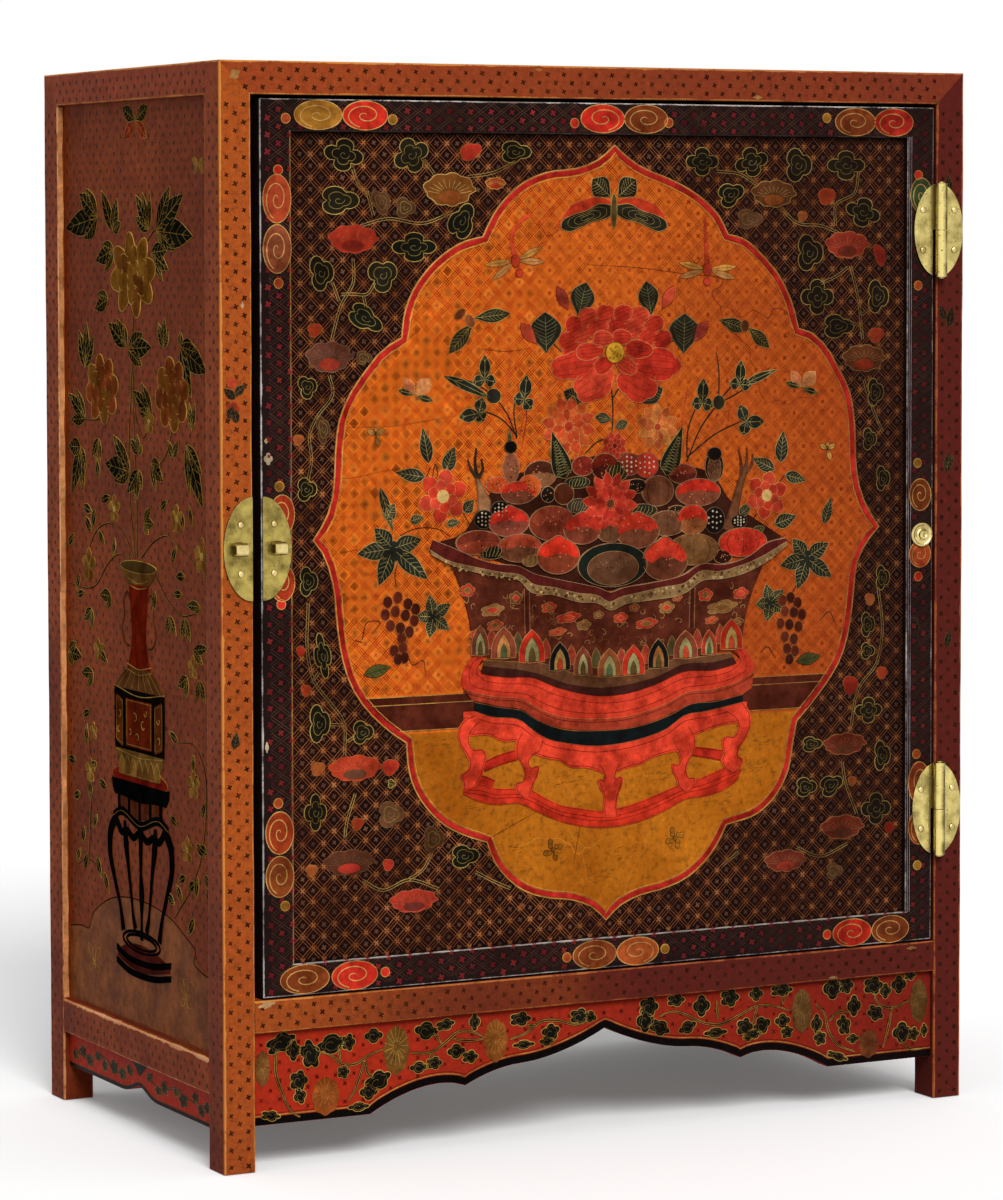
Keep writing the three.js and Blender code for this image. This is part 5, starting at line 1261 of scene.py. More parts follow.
dragonflies = (  # middle, wing tips, tail, head
    ((233, 640), [208,637, 214,626, 255,650, 257,639], [233,642, 230,655, 236,668, 245,673],
     (236, 631)),
    ((392, 633), [368,638, 368,627, 417,635, 416,626], [392,635, 391,652, 390,672], (392, 624)))
for middle, tips, tail, head in dragonflies:
    wing(toTips(middle, tips, 5, 0.08), "d89848 c88c50", "8c5c28", 2)
    limb(insectPen, tail, [4, 3, 2], "c84828", 0.5)
    outlined(insectPen, placed(disc, [(*middle, 7, 9), (*head, 6, 6)]), "b83c24", "7c2818", 0.3, 0.7, 0.4)
wing([(199, 599, 30, 10, 6), (199, 596, 30, 11, 228), (402, 596, 26, 10, -18),
    (427, 590, 24, 10, -40)], "2c2c22 38301f", veins=6)
bodies = placed(disc, [(196, 597, 7, 10, 30), (424, 591, 7, 9, 0), (188, 602, 10, 6, 40)])
outlined(insectPen, bodies, "8c4a28 6c3c20", "b89048", base=0.7, width=0.5)
for u, v in ((152, 545), (473, 545)):
    wing([(u, v, 15, 8, 125), (u + 1, v, 16, 11, 45)], "d8784c dc8c54", "e0b068", 3)
    wing([(u, v, 14, 5, 165), (u + 1, v - 1, 14, 5, -15)], "2c2c22", veins=2)
for u, v in ((121, 517), (496, 498)):
    wing([(u, v, 8, 4, 150), (u, v, 8, 4, 30), (u, v, 9, 4, -70), (u, v + 1, 5, 3, 85)], "c89048", "4c3418",
        1)

# Long hair cracks across the picture
cracks = [[70,487, 100,487, 140,492, 160,489], [87,523, 130,523, 190,530],
    [55,555, 80,548, 104,555, 147,585, 165,598], [86,433, 108,436, 135,434], [198,578, 228,575, 246,577],
    [292,637, 340,634, 372,630, 410,627], [185,212, 230,232, 255,243], [280,200, 287,235]]
for path in cracks:
    fine(curve(path, 26), 0.5, 0.1, 0.42, "4c2012", (0.3, 0.3))

finishPen(goldPen, "door_scroll_gold", panelFace, "scrollLacquer")
for pen, name in ((fruitPen, "fruit"), (leafPen, "leaves"), (flowerPen, "flowers"), (potPen, "bowl"),
                  (standPen, "stand"), (insectPen, "insects"), (finePen, "fine_lines")):
    finishPen(pen, f"picture_{name}", panelFace, "filledLacquer")
print("picture made")

# The front apron: black edge, gold line, cloud-shaped leaves, vines and ribbed flower heads on red
apron = {"span": (23.4, 589.4), "low": 31.7, "high": 97.7, "edge": 5.4}
apronFace = frontFace(case["pictureZero"], 5, "case", "apron_lacquer")
cusps = [[0.323,0, 0.409,0.209, 0.515,0.343, 0.593,0.209],
    [0.593,0.209, 0.632,0.291, 0.693,0.388, 0.757,0.396], [0.757,0.396, 0.835,0.41, 0.934,0.552, 1,0.7]]
mirrored = lambda half: np.concatenate([half, (half * [-1, 1] + [2, 0])[::-1][1:]])


def bezier(corners, steps=14):
    # (1 - t)^3 a + 3 (1 - t)^2 t b + 3 (1 - t) t^2 c + t^3 d
    t = np.linspace(0, 1, steps)[:, None]
    a, b, c, d = np.reshape(corners, (4, 2))
    return (1 - t) ** 3 * a + 3 * (1 - t) ** 2 * t * b + 3 * (1 - t) * t * t * c + t ** 3 * d


half = [np.stack([np.linspace(0, 0.323, 8), np.zeros(8)], 1)] + [bezier(part)[1:] for part in cusps]
half = np.concatenate(half)
reach = [(apron["span"][1] - apron["span"][0]) / 2, apron["high"] - apron["low"]]
lower = mirrored(half) * reach + [apron["span"][0], apron["low"] + 0.2]
rise = apron["edge"] * np.hypot(1, np.gradient(lower[:, 1]) / np.gradient(lower[:, 0]))
upper = lower + np.stack([np.zeros(len(lower)), rise], 1)
apronPen, finePen = newPens(2)
lay(apronPen, band(lower, upper, 0.12, 0.02, 0.2), "080606")
fine(upper + [0, 0.9], 1.1, 0.2, 0.02, "c8984c")
fine(upper + [0, 2.3], 0.5, 0.12, 0.02, "5c1a10")
aboveEdge = lambda u, v: v > np.interp(u, upper[:, 0], upper[:, 1]) + 3
florets = field((30, 584), (36, 95), 14.5, 6.6, aboveEdge)
lay(apronPen, studs(florets, markShape, 3.5, 0.02, 0.08, 45), "701c12 641a10")


def cloudLeaves(rows, colours, line, base=0.05, lobes=5):
    # Rounded leaves of curling lobes, with a gold line just inside the edge and a curl at the heart
    shape = ruffled(lobes, 0.36, 34)
    outlines = placed(shape, rows)
    lay(apronPen, blot(outlines, 0.2, base, 0.4), colours)
    fine(closed(outlines), 0.8, 0.24, base, line)
    fine(closed(placed(shape, resized(rows, 0.68, 0.68))), 0.5, 0.1, base + 0.24, "6c5c34")
    fine(placed(curl * 0.6, rows), 0.5, 0.1, base + 0.3, "7c6838")


apronLeaves = [(45, 89, 22, 13, 20), (55, 83, 10, 14), (68, 79, 14, 20, 20), (85, 85, 22, 13, 10),
    (98, 85, 10, 12), (118, 88, 13, 10), (59, 61, 13, 14), (60, 50, 9, 11, 20), (121, 55, 20, 13, 25),
    (114, 48, 13, 11), (94, 64, 9, 9), (160, 88, 17, 12, -10), (175, 91, 14, 8, 10), (154, 62, 13, 8),
    (166, 64, 12, 9), (184, 71, 13, 10), (195, 66, 12, 9), (199, 91, 8, 12), (236, 90, 16, 10),
    (239, 71, 16, 6), (261, 78, 14, 12, 20), (258, 72, 11, 7), (285, 88, 15, 11), (294, 87, 10, 8, -20),
    (37, 38, 14, 7, -10), (106, 38, 15, 6), (343, 90, 15, 14), (340, 80, 13, 16), (352, 74, 17, 11, -25),
    (376, 72, 14, 9, 20), (366, 93, 14, 9), (388, 87, 13, 15), (412, 91, 15, 13), (400, 66, 18, 7),
    (425, 68, 13, 13), (440, 68, 14, 12, 20), (432, 62, 15, 7), (435, 92, 11, 10), (457, 93, 18, 9),
    (458, 70, 12, 10), (462, 61, 10, 9, 20), (488, 65, 9, 14), (491, 54, 10, 11, 30), (502, 91, 15, 16),
    (514, 92, 12, 12), (521, 76, 11, 15), (512, 62, 11, 15, 20), (520, 51, 10, 7), (538, 90, 16, 13),
    (549, 85, 9, 11), (540, 69, 14, 11, -30), (561, 89, 12, 13), (571, 95, 10, 7), (564, 52, 15, 15),
    (574, 50, 10, 10), (584, 52, 6, 10), (506, 39, 18, 6, -20), (428, 60, 8, 6)]
apronLeaves = resized(apronLeaves, 1.15, 1.12)
cloudLeaves(apronLeaves[0::2], "14140e 181812", "c8a450")
cloudLeaves(apronLeaves[1::2], "161410 12120c", "c09a48", lobes=4)
apronVines = ([46,96, 42,84, 41,72, 46,54, 55,38, 60,35], [76,80, 86,76, 92,70, 104,69, 116,75, 128,78],
    [92,72, 91,82, 98,88], [111,71, 107,60, 103,50, 98,43], [111,71, 113,62, 119,56],
    [148,73, 164,72, 175,78, 186,85, 197,84, 207,79], [165,72, 162,66], [182,80, 192,78, 206,78],
    [228,76, 240,79, 254,87, 268,86, 283,82, 292,84], [166,86, 172,78], [242,85, 250,84],
    [352,82, 362,85, 376,81, 390,74, 405,72, 420,77, 436,83, 450,82, 464,77], [401,90, 402,76],
    [436,82, 434,76, 432,70], [458,82, 460,90], [487,80, 495,72, 498,60, 506,48, 522,41],
    [499,66, 506,72, 518,71], [538,86, 542,77, 552,72, 562,73, 570,76], [555,72, 552,58, 547,42],
    [563,46, 571,39, 582,38])
for path in apronVines:
    limb(apronPen, path, [2.0, 2.8, 1.8], "4c1a10", 0.02, 0.14, "c0984c", 18)
# Flower heads seen flat: an oval with fine ribs that run out from near its top
flowerHeads = ((136, 76, 21, 36, "7c5424", "c8a04c"), (80, 48, 22, 28, "944c20", "b88038"),
    (216, 76, 20, 32, "8c5020", "b88840"), (31, 72, 12, 26, "7c5028", "a87c40"),
    (475, 76, 18, 34, "74502a", "9c7840"), (534, 46, 18, 22, "84482a", "94602f"),
    (579, 75, 16, 34, "74502a", "9c7840"))
ribTurns, ribShares = np.linspace(0, 2 * np.pi, 15, endpoint=False)[:, None], np.array([0.12, 0.3, 0.45])
for u, v, width, height, colour, line in flowerHeads:
    lay(apronPen, blot(placed(ruffled(8, 0.12, 40), [(u, v, width, height)]), 0.25, 0.06, 0.5), colour)
    ribV = v + height * (0.08 + (ribShares - 0.02) * np.sin(ribTurns) * 0.92)
    fine(np.stack([u + width * ribShares * np.cos(ribTurns), ribV], -1), 0.5, 0.12, 0.42, line)
finishPen(apronPen, "apron_front_painting", apronFace, "filledLacquer")
finishPen(finePen, "apron_front_lines", apronFace, "filledLacquer")

# Side aprons: the same leaves, smaller, with a dark pendant at the middle
apronPen, finePen = newPens(2)
cusp = bezier([0.76,0, 0.88,0.02, 0.93,0.26, 1,0.28])
half = np.concatenate([np.stack([np.linspace(0, 0.76, 8), np.zeros(8)], 1), cusp[1:]])
lower = mirrored(half) * [138, 26] + [27.2, 26.9]
lay(apronPen, band(lower, lower + [0, 2.6], 0.12, 0.02, 0.2), "140c0c")
fine(lower + [0, 3.2], 0.6, 0.16, 0.02, "8c5428")
sideApronLeaves = [(40, 40, 14, 9), (52, 36, 13, 8, 20), (62, 44, 12, 7), (84, 38, 16, 11), (97, 42, 10, 8),
    (118, 41, 13, 10, 20), (130, 37, 12, 8), (146, 44, 12, 7, -20), (184, 43, 13, 8, 20), (198, 38, 15, 9),
    (214, 40, 16, 11), (232, 38, 12, 9), (246, 43, 13, 8), (262, 37, 15, 9, 20), (276, 42, 14, 9),
    (291, 37, 12, 9)]
cloudLeaves(sideApronLeaves, "1c1a12 201e16", "8c7038", 0.04)
for path in ([40,40, 70,40, 100,44, 125,38, 150,44], [180,44, 205,38, 240,44, 270,37, 295,42]):
    limb(apronPen, path, [1.4, 1.8, 1.2], "241a10", 0.02, 0.1, "8c6c34")
pendant = [180,51.5, 172,46, 165,41.5, 158,46, 150,51.5]
lay(apronPen, blot(np.reshape(pendant, (-1, 2)), 0.14, 0.03, 0.2), "141810")
for name, side in sides:
    face = sideFace(side, 5, "apron_lacquer")
    finishPen(apronPen, f"apron_{name}_painting", face, "filledLacquer")
    finishPen(finePen, f"apron_{name}_lines", face, "filledLacquer")
print("aprons painted")

# The side pictures: a vase of peonies on a tall black stand, the same on both sides; u runs from the front
sideMarks, sidePen, sideLeafPen, finePen = newPens(4)
sideInk = {"gold": "b49044", "leaf": "181a12 1e2016 201e14", "black": "07090a", "brown": "241a10"}
hill = [299,135, 275,138, 262,138, 256,148, 240,158, 215,167, 188,171, 160,172, 128,170, 100,165, 76,156,
    60,148, 64,141, 52,136, 31,133]
hill = curve(hill, 60)
aboveHill = lambda u, v: v > np.interp(u, hill[::-1, 0], hill[::-1, 1]) + 3
order = np.argsort(hill[:, 0])
ground = np.linspace(31, 300, 50)
groundTop = np.column_stack([ground, np.interp(ground, hill[order, 0], hill[order, 1])])
lay(sideMarks, band(np.column_stack([ground, np.full(50, 81.0)]), groundTop, 0.02, 0.0, 0.0), "8c4c1e")
florets = field((32, 300), (84, 750), *marks["pitch"], aboveHill)
lay(sideMarks, studs(florets, markShape, 3.9, 0.02, 0.06, 45), "4a2010 562812 401c0e")
fine(hill, 1.3, 0.12, 0.04, "22120a")
fine(hill - [0, 2.2], 0.6, 0.08, 0.04, "8c5c2c")
sideStems = ([168,604, 170,560, 168,520, 164,470, 164,424], [172,560, 178,480, 168,424],
    [200,660, 222,668, 240,672], [140,655, 128,662, 118,664], [170,560, 160,520, 150,512, 140,525],
    [205,530, 240,522, 275,522], [170,424, 190,440, 212,446, 240,440, 262,420],
    [176,422, 200,424, 225,412, 240,400, 300,396], [156,424, 130,438, 108,443, 80,434, 50,424],
    [152,422, 128,412, 110,398, 85,388, 50,392], [96,522, 110,500, 130,490],
    [222,172, 240,184, 262,190, 284,184], [98,168, 80,182, 62,196, 50,200],
    [62,198, 48,220, 40,250, 42,280, 60,296, 88,296], [262,190, 258,220, 254,250, 260,280, 270,298])
for path in sideStems:
    path = curve(path, 24)
    fine(path, 1.5, 0.14, 0.06, sideInk["brown"], (1, 0.5))
    fine(path + [0.9, 0.3], 0.5, 0.1, 0.12, sideInk["gold"], (1, 0.5))
sideLeaves = (  # foot, tips, and each tip's width
    ((236, 672), [299,664, 272,690, 258,694, 262,656], [20, 17, 14, 16]),
    ((206, 662), [228,692, 198,686, 190,668], [14, 14, 10]),
    ((204, 648), [240,640, 228,652, 222,632], [14, 10, 10]), ((216, 612), [242,604, 236,616], [12, 9]),
    ((138, 662), [162,688, 150,690, 136,690, 164,672], [13, 10, 9, 10]),
    ((124, 662), [58,658, 74,688, 98,694, 90,648, 102,656], [22, 18, 16, 14, 10]),
    ((134, 646), [104,648, 102,634, 112,626], [14, 12, 9]),
    ((262, 560), [274,588, 258,594, 244,584], [14, 14, 12]),
    ((182, 578), [216,594, 200,598, 186,594], [15, 12, 10]),
    ((178, 576), [134,578, 150,588, 152,564], [15, 13, 12]),
    ((112, 578), [122,596, 110,600, 102,590], [10, 10, 8]),
    ((82, 580), [80,590, 34,562, 52,576, 62,544], [10, 20, 15, 15]),
    ((262, 522), [296,540, 280,544, 292,520], [12, 10, 10]),
    ((272, 500), [296,500, 290,464, 268,466, 262,484], [14, 16, 13, 10]),
    ((176, 486), [224,490, 208,512, 196,502, 206,478], [18, 14, 12, 12]),
    ((134, 528), [170,546, 154,552, 160,532], [13, 12, 10]),
    ((72, 510), [42,466, 44,490, 66,474], [18, 12, 11]), ((62, 520), [66,540, 56,540], [8, 8]),
    ((160, 488), [182,470, 166,464, 154,474], [12, 11, 9]),
    ((136, 494), [114,482, 120,494, 128,474], [12, 9, 9]),
    ((160, 500), [176,510, 162,514, 152,506], [9, 8, 7]), ((236, 508), [250,494, 234,490], [9, 8]),
    ((150, 450), [138,462, 132,450, 142,442], [9, 9, 8]), ((96, 500), [106,512, 86,512], [8, 8]),
    ((252, 380), [268,370, 252,364], [9, 8]), ((214, 392), [236,392, 222,382], [10, 8]),
    ((300, 344), [272,342, 284,352, 290,334], [11, 9, 9]), ((250, 332), [274,330, 262,320], [9, 8]),
    ((104, 386), [108,372, 92,372], [9, 8]), ((76, 386), [82,370, 66,370], [9, 8]),
    ((72, 344), [90,336, 76,328], [9, 8]), ((50, 344), [40,328, 56,328], [8, 8]),
    ((240, 350), [222,342, 228,354], [8, 7]), ((62, 364), [34,368, 44,356], [8, 7]),
    ((48, 396), [60,392, 74,396], [6, 8]))
for foot, tips, widths in sideLeaves:
    leaves(sideLeafPen, toTips(foot, tips, widths), sideInk["leaf"], sideInk["gold"], 4, fat=0.85, base=0.1)
small = np.reshape([244,455, 268,456, 286,434, 232,462, 252,438, 120,462, 82,462, 62,452, 30,442, 76,416,
    100,424, 32,410, 276,404, 226,430, 236,478, 206,436, 130,402, 272,298, 258,236, 286,262, 244,264,
    278,238, 244,226, 240,252, 270,214, 286,186, 272,182, 246,194, 232,184, 90,296, 62,290, 54,276, 28,292,
    28,266, 48,246, 92,236, 38,222, 58,226, 56,204, 84,182, 98,178, 62,172, 72,192, 30,186, 282,388, 36,432,
    96,402, 44,206, 90,196, 266,276], (-1, 2))
count = len(small)
sizes = [chance.uniform(low, high, count) for low, high in ((14, 19), (6, 8), (0, 360))]
small = np.column_stack([small, *sizes])
leaves(sideLeafPen, small, sideInk["leaf"], sideInk["gold"], 2, fat=0.8, base=0.1)
sidePeonies = ((168, 630, 84, 50, "84561e 946424 78481c", "d8b058"),
    (229, 545, 62, 46, "84441c 8c4420 784c1e", "c89c4c"),
    (97, 545, 60, 50, "84441c 743a1c 845020", "c89c4c"))
# three rings of petals, the inner ones smaller and higher
for u, v, width, height, petals, line in sidePeonies:
    for count, out, size in ((8, 0.33, 0.44), (6, 0.19, 0.36), (4, 0.07, 0.26)):
        turns = np.arange(count) / count * 2 * np.pi + out * 9
        heads = [u + width * out * np.cos(turns), v + height * out * np.sin(turns)]
        sizes = [np.full(count, width * size * 0.82), np.full(count, height * size * 0.95)]
        rows = np.column_stack([*heads, *sizes, np.degrees(turns)])
        lift = 0.16 + 0.12 * (0.34 - out) * 4
        outlined(sidePen, placed(ruffled(3, 0.16, 22), rows), petals, line, 0.24, lift, 0.9, 0.8)
blossoms = ((257, 412, 25), (207, 457, 20), (45, 432, 26), (90, 456, 20), (140, 524, 18), (257, 258, 18),
    (62, 268, 20), (74, 220, 18), (250, 288, 12), (240, 350, 16), (62, 352, 16))
for u, v, size in blossoms:
    rows = ring((u, v), 5, size / 2, size * 0.36, 18, 1)
    outlined(sidePen, placed(petal, rows), "946a2c 8c5a28", "b89448", 0.2, 0.14, 0.5)
    outlined(sidePen, placed(disc, [(u, v, size * 0.22, size * 0.22)]), "c0a050", None, 0.3, 0.2)
for u, v in ((252, 113), (78, 113)):
    rows = [(u, v, 17, 7, 50), (u, v, 17, 7, 130), (u, v, 11, 5, -35), (u, v, 11, 5, 215)]
    fine(closed(placed(petal, rows)), 0.8, 0.14, 0.06, "a88040")
for u, v, size, over, under in ((162, 742, 26, "262418 2c2a1c", "94301e"), (47, 708, 12, "8c6c34", "8c6c34")):
    rows = [(u, v, size, size * 0.45, 22), (u, v, size, size * 0.45, 158)]
    leaves(sideLeafPen, rows, over, sideInk["gold"], 4, fat=1.1, base=0.12)
    rows = [(u, v, size * 0.95, size * 0.42, -32), (u, v, size * 0.95, size * 0.42, 212)]
    leaves(sideLeafPen, rows, under, "b8864c", 3, fat=1.1, base=0.1)

# Vase: flared rim, red neck with two handles, lobed shoulder, eight-sided body, petals at the foot
vase = {"neck": "78200f", "rim": "7c5a2c", "mouth": "54401f", "shoulder": "6c4424", "body": "120e0a",
        "panels": ("6c3414", "6a2410", "6c3414"), "handles": "54301a", "gold": "b89448"}


def turned(rightEdge, colour, base=0.3, crown=0.4, axis=161):
    # A band between an edge and its mirror image on the other side of an upright axis
    rightEdge = np.reshape(rightEdge, (-1, 2))
    leftEdge = rightEdge * [-1, 1] + [2 * axis, 0]
    lay(sidePen, band(curve(rightEdge, 16), curve(leftEdge, 16), 0.22, base, crown), colour)


handle = np.reshape([16,392, 22,398, 28,393, 27,380, 32,372, 26,360, 18,358], (-1, 2))
for side in (1, -1):
    fine(curve(handle * [side, 1] + [161, 0], 22), 2.2, 0.2, 0.2, vase["handles"])
turned([180,405, 176,385, 174,366, 178,350, 184,340], vase["neck"])
turned([195,417, 188,409, 180,404], vase["rim"], 0.36)
outlined(sidePen, placed(disc, [(161, 417, 68, 9)]), vase["mouth"], vase["gold"], 0.2, 0.5, 0.7)
turned([182,342, 194,336, 208,326], vase["shoulder"], 0.34)
turned([208,326, 208,303, 207,281], vase["body"], 0.32, 0.02)
turned([206,281, 202,272, 192,262], vase["rim"])
plates = ([205,322, 205,286, 191,282, 191,318], [187,320, 187,283, 136,283, 136,320],
          [132,318, 132,282, 117,286, 117,322])
for plate, colour in zip(np.reshape(plates, (3, 4, 2)), vase["panels"]):
    outlined(sidePen, plate, colour, "060606", 0.1, 0.56, 3.4, 0.1)
    fine(closed(plate * 0.88 + plate.mean(0) * 0.12), 0.6, 0.1, 0.68, "b08c48")
knots = [(170, 308, 14, 9, 20), (152, 300, 14, 9, 200), (166, 293, 12, 7), (148, 312, 10, 7, 90),
    (178, 296, 8, 7, 40), (198, 308, 9, 8, 30), (199, 294, 8, 7, 200), (124, 308, 8, 8, 100),
    (125, 294, 8, 7)]
fine(placed(curl, knots), 1.0, 0.14, 0.66, "c8a04c")
rings = [[184,341, 161,338, 138,341], [183,345, 161,342, 139,345], [208,327, 161,322, 114,327],
    [178,403, 161,401, 144,403], [180,408, 161,405, 142,408], [205,280, 161,277, 117,280]]
fine([curve(path, 16) for path in rings], 0.9, 0.14, 0.6, vase["gold"])
ribs = [curve([(161 + k * 5.5, 340), (161 + k * 11, 327)], 6) for k in (-3.6, -2.4, -1.2, 0, 1.2, 2.4, 3.6)]
fine(ribs, 0.7, 0.12, 0.62, "a8803c")
footPetals = placed(arch, [(161 + k * 11, 263, 11, 13) for k in range(-3, 4)])
outlined(sidePen, footPetals, "8c6830 7c5426", vase["gold"], 0.14, 0.5, 0.6)

# Its stand: red dish, black belt and waist, five curved legs, and a ring foot
blackInk = sideInk["black"]
outlined(sidePen, placed(disc, [(161, 261, 104, 19)]), "7c1c12", "b07c3c", 0.2, 0.24, 0.7, 0.1)
turned([214,258, 213,252, 208,246], blackInk, axis=160)
rimLine = curve([214,259, 190,253, 161,251, 132,253, 106,259], 30)
underRim = curve([210,248, 190,246, 161,244, 132,246, 110,248], 30)
lay(sidePen, band(rimLine, underRim, 0.26, 0.34, 0.2), blackInk)
turned([202,246, 200,238, 198,232], "5c2c18", 0.22, axis=160)
for u in (200, 181, 161, 141, 122):
    limb(sidePen, [(u, 247), (u, 231)], [5, 5], blackInk, 0.3, 0.26)
belt = curve([212,229, 200,234, 161,227, 122,234, 108,229], 30)
lay(sidePen, band(belt + [0, 3.4], belt - [0, 3.4], 0.26, 0.36, 0.2), blackInk)
fine(belt, 0.6, 0.1, 0.7, "9c7438")
sideLegs = (([205,230, 217,218, 219,202, 210,182, 199,162, 194,146], [8, 9, 7, 5, 4, 7]),
    ([117,230, 104,218, 102,202, 111,182, 121,162, 126,146], [8, 9, 7, 5, 4, 7]),
    ([190,228, 188,212, 184,196, 178,172, 174,156, 171,150], [4, 9, 5, 4, 3, 6]),
    ([132,228, 134,212, 138,196, 143,172, 147,156, 150,150], [4, 9, 5, 4, 3, 6]),
    ([160,226, 160,208, 160,190, 159,182, 159,160, 159,143], [9, 6, 4, 9, 3, 5]))
for middle, widths in sideLegs:
    limb(sidePen, middle, widths, blackInk, 0.34, 0.28, number=40)
waist = [205,226, 196,219, 186,221, 174,217, 161,222, 148,217, 136,221, 126,219, 116,226]
limb(sidePen, waist, [6, 5, 6], blackInk, 0.32, 0.28, number=44)
fine(closed(placed(disc, [(160, 141, 70, 15), (160, 141, 56, 10)])), 3.0, 0.24, 0.26, blackInk)
feetTop = curve([205,131, 185,137, 161,139, 137,137, 107,131], 30)
feetLow = curve([205,126, 185,121, 161,119, 137,121, 107,126], 30)
lay(sidePen, band(feetTop, feetLow, 0.2, 0.22, 0.1), "54201a")
for v in (132, 122.5):
    middle = curve([(207, v), (185, v - 5), (161, v - 6), (137, v - 5), (105, v)], 30)
    lay(sidePen, band(middle + [0, 2.4], middle - [0, 2.4], 0.26, 0.3, 0.2), blackInk)
for name, side in sides:
    for pen, part, material in ((sideMarks, "marks", "markLacquer"), (sidePen, "picture", "sideColours"),
                                (sideLeafPen, "leaves", "sideColours"), (finePen, "lines", "sideColours")):
        finishPen(pen, f"side_{part}_{name}", sideFace(side, 5, "brown_lacquer"), material)

# The recess walls of the back posts are rubbed pale along their whole height, in a ragged strip
for name, side in sides:
    pen, = newPens(1)
    v = np.linspace(79, 755, 90)
    ragged = 4.2 + (0.45 * np.sin(v / 7.3) * np.sin(v / 23 + 1) + chance.normal(0, 0.12, 90))
    inner, outer = (np.column_stack([edge, v]) for edge in (np.full(90, 0.6), ragged))
    lay(pen, band(inner, outer, 0.03, 0.02, 0), "e29c62")
    corner, ways = [side * wide / 2, deep - postDeep - ahead, 0], [[-side, 0, 0], [0, 0, 1], [0, -1, 0]]
    wall = np.array(corner), np.array(ways), "case", "red_lacquer"
    finishPen(pen, f"recess_wear_{name}", wall, "markLacquer")
print("sides painted")

# Sprays on the posts, chips in the door's edge, and rubbed spots on the rails
postPen, chipPen, spotPen, finePen = newPens(4)
sprays = [(6, 531, 11, 6, 70), (12, 528, 11, 6, 100), (11, 545, 11, 6, 140), (11, 548, 10, 6, 40),
    (601, 588, 16, 7, 78), (598, 594, 12, 6, 115), (600, 478, 16, 7, 84), (599, 482, 11, 6, 50),
    (602, 690, 14, 6, 100), (600, 345, 14, 6, 76), (9, 300, 12, 6, 80)]
leaves(postPen, sprays, "24201a", "6c5430", 3, fat=0.8, base=0.06)
postFlowers = placed(ruffled(5, 0.25, 20), [(9, 538, 11, 10), (9, 556, 9, 8)])
outlined(postPen, postFlowers, "b83c24 c0482c", "8c5c30", 0.14, 0.1, 0.5)
finishPen(postPen, "post_sprays", caseFront, "filledLacquer")
finishPen(finePen, "post_spray_lines", caseFront, "filledLacquer")
chips = placed(ruffled(4, 0.3, 16), [(35.5, 502.5, 7, 9), (34, 515, 3, 4), (33.5, 300, 3, 8),
    (300, 125.5, 6, 2.6)])
lay(chipPen, blot(chips, 0.06, 0.02, 0.2), "d8c4a0 c8a87c")
finishPen(chipPen, "door_edge_chips", doorFace, "markLacquer")
spots = [(433, 759.5, 8, 3), (33, 118, 14, 5, 10), (590, 758, 6, 3), (12, 770, 9, 7, 30),
    (500, 100, 8, 2.4), (250, 777, 7, 2.5), (570, 117, 9, 3), (17, 610, 3, 5)]
lay(spotPen, blot(placed(ruffled(4, 0.35, 16), spots), 0.05, 0.02, 0.2), "d09858 dcb07c b8763c")
finishPen(spotPen, "case_rubbed_spots", caseFront, "markLacquer")
print("posts and rubbed spots made")

# Finishes for the part's own nodes: by node first, then by slot, and rounded edges in mm by slot
nodes = frame["nodes"]
slots = {part["node"]: part["material_slot"] for part in frame["record"]["subparts"]}
nodeFinish = {
    "sideLacquer": ("panel_left", "panel_right", "panel_top"),
    "plainLacquer": ("panel_back", "door_stop", "apron_back"),
    "groundLacquer": ("door_panel",),
    "apronLacquer": ("apron_front", "apron_left", "apron_right"),
    "woodAcross": ("batten_top", "batten_floor", "door_batten_upper", "door_batten_lower", "panel_floor",
                   "shelf"),
}
nodeFinish = {name: finish for finish, names in nodeFinish.items() for name in names}
slotFinish = {"bare_wood": "woodDeep", "brass": "brass"}
rounding = {"brass": 0.35, "bare_wood": 0.6, "dark_lacquer": 0.5, "brown_lacquer": 0.4, "others": 0.4}
for name, node in nodes.items():
    if node.hide_render:
        continue
    finish = nodeFinish.get(name) or slotFinish.get(slots[name], "plainLacquer")
    if name.startswith(("staple", "nail", "door_boss")) or name.endswith("_pin"):
        finish = "wornAndShadedBrass"
    elif name.startswith("hinge"):
        finish = "hingeBrass"
    node.data.materials.clear()
    node.data.materials.append(materials[finish])
    weld = node.modifiers.new("weld", "WELD")
    weld.merge_threshold = 0.02 * mm
    if not name.startswith(("nail", "door_boss")):
        edges = node.modifiers.new("soft_edges", "BEVEL")
        edges.width = rounding.get(slots[name], rounding["others"]) * mm
        edges.segments = 2
        edges.limit_method = "ANGLE"
        edges.angle_limit = math.radians(40)
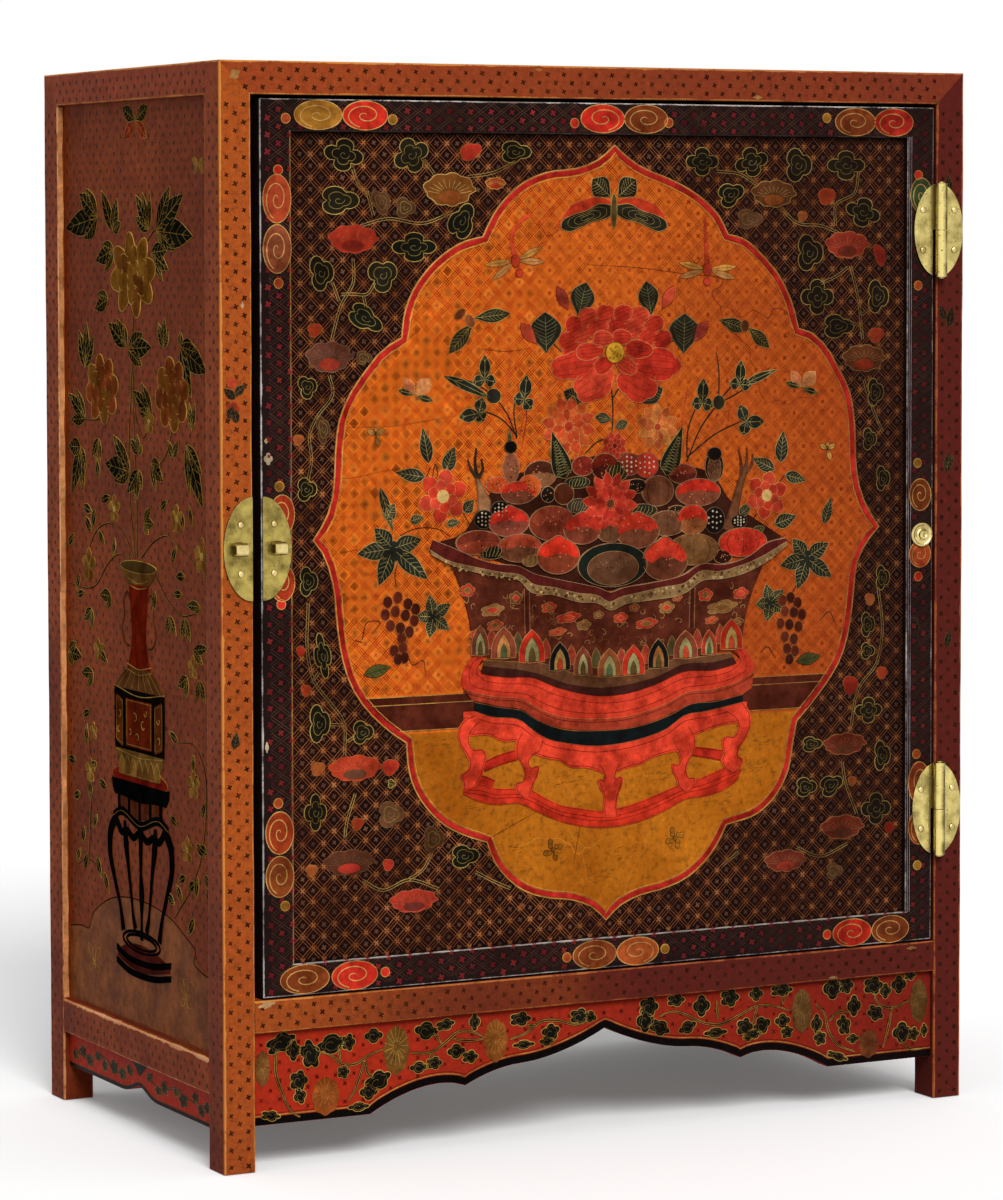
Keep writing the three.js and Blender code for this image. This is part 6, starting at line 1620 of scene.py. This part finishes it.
print("part's own nodes finished")

# A plain studio: pale floor, a broad sun through haze, and the room's own light. The camera, glossy rays and
# transmission rays see a white room, and everything else the plain level that lights the cabinet.
studio = {"reach": 30, "under": 0.4, "floor": (0.36, 0.355, 0.35, 1), "lift": 0.11, "sky": 0.5,
          "sun": 2.3, "sunWidth": 28, "sunTurn": (50, 0, -12)}
white = (1, 1, 1, 1)


def seenWhite(add):
    # 1 where the background has to show white, else 0
    ray = add("LightPath", {})
    seen = add("Math", {0: (ray, "Is Camera Ray"), 1: (ray, "Is Glossy Ray")}, operation="MAXIMUM")
    return add("Math", {0: seen, 1: (ray, "Is Transmission Ray")}, operation="MAXIMUM")


reach = studio["reach"]
floorMesh = bpy.data.meshes.new("studio_floor")
corners = [(-reach, -reach, 0), (reach, -reach, 0), (reach, reach, 0), (-reach, reach, 0)]
floorMesh.from_pydata(corners, [], [(0, 1, 2, 3)])
floor = bpy.data.objects.new("studio_floor", floorMesh)
link(floor)
floor.location.z = -studio["under"] * mm
paper = bpy.data.materials.new("white_paper")
add = newTree(paper)
seen = seenWhite(add)
tone = add("Mix", {0: seen, 6: studio["floor"], 7: white}, data_type="RGBA")
lift = add("Math", {0: seen, 1: studio["lift"]}, operation="MULTIPLY")  # keeps the shadow a mid grey
glow = add("Emission", {"Color": white, "Strength": lift})
add("OutputMaterial", {"Surface": add("AddShader", {0: add("BsdfDiffuse", {"Color": (tone, 2)}), 1: glow})})
floorMesh.materials.append(paper)

world = bpy.data.worlds.new("studio")
add = newTree(world)
bpy.context.scene.world = world
level = add("MapRange", {0: seenWhite(add), 3: studio["sky"], 4: 1.0})
add("OutputWorld", {"Surface": add("Background", {"Color": white, "Strength": level})})

sun = bpy.data.lights.new("key", "SUN")
sun.energy, sun.angle = studio["sun"], math.radians(studio["sunWidth"])
lamp = bpy.data.objects.new("key", sun)
lamp.rotation_euler = [math.radians(turn) for turn in studio["sunTurn"]]
link(lamp)
bpy.context.scene.view_settings.view_transform = "Standard"
print("studio made")
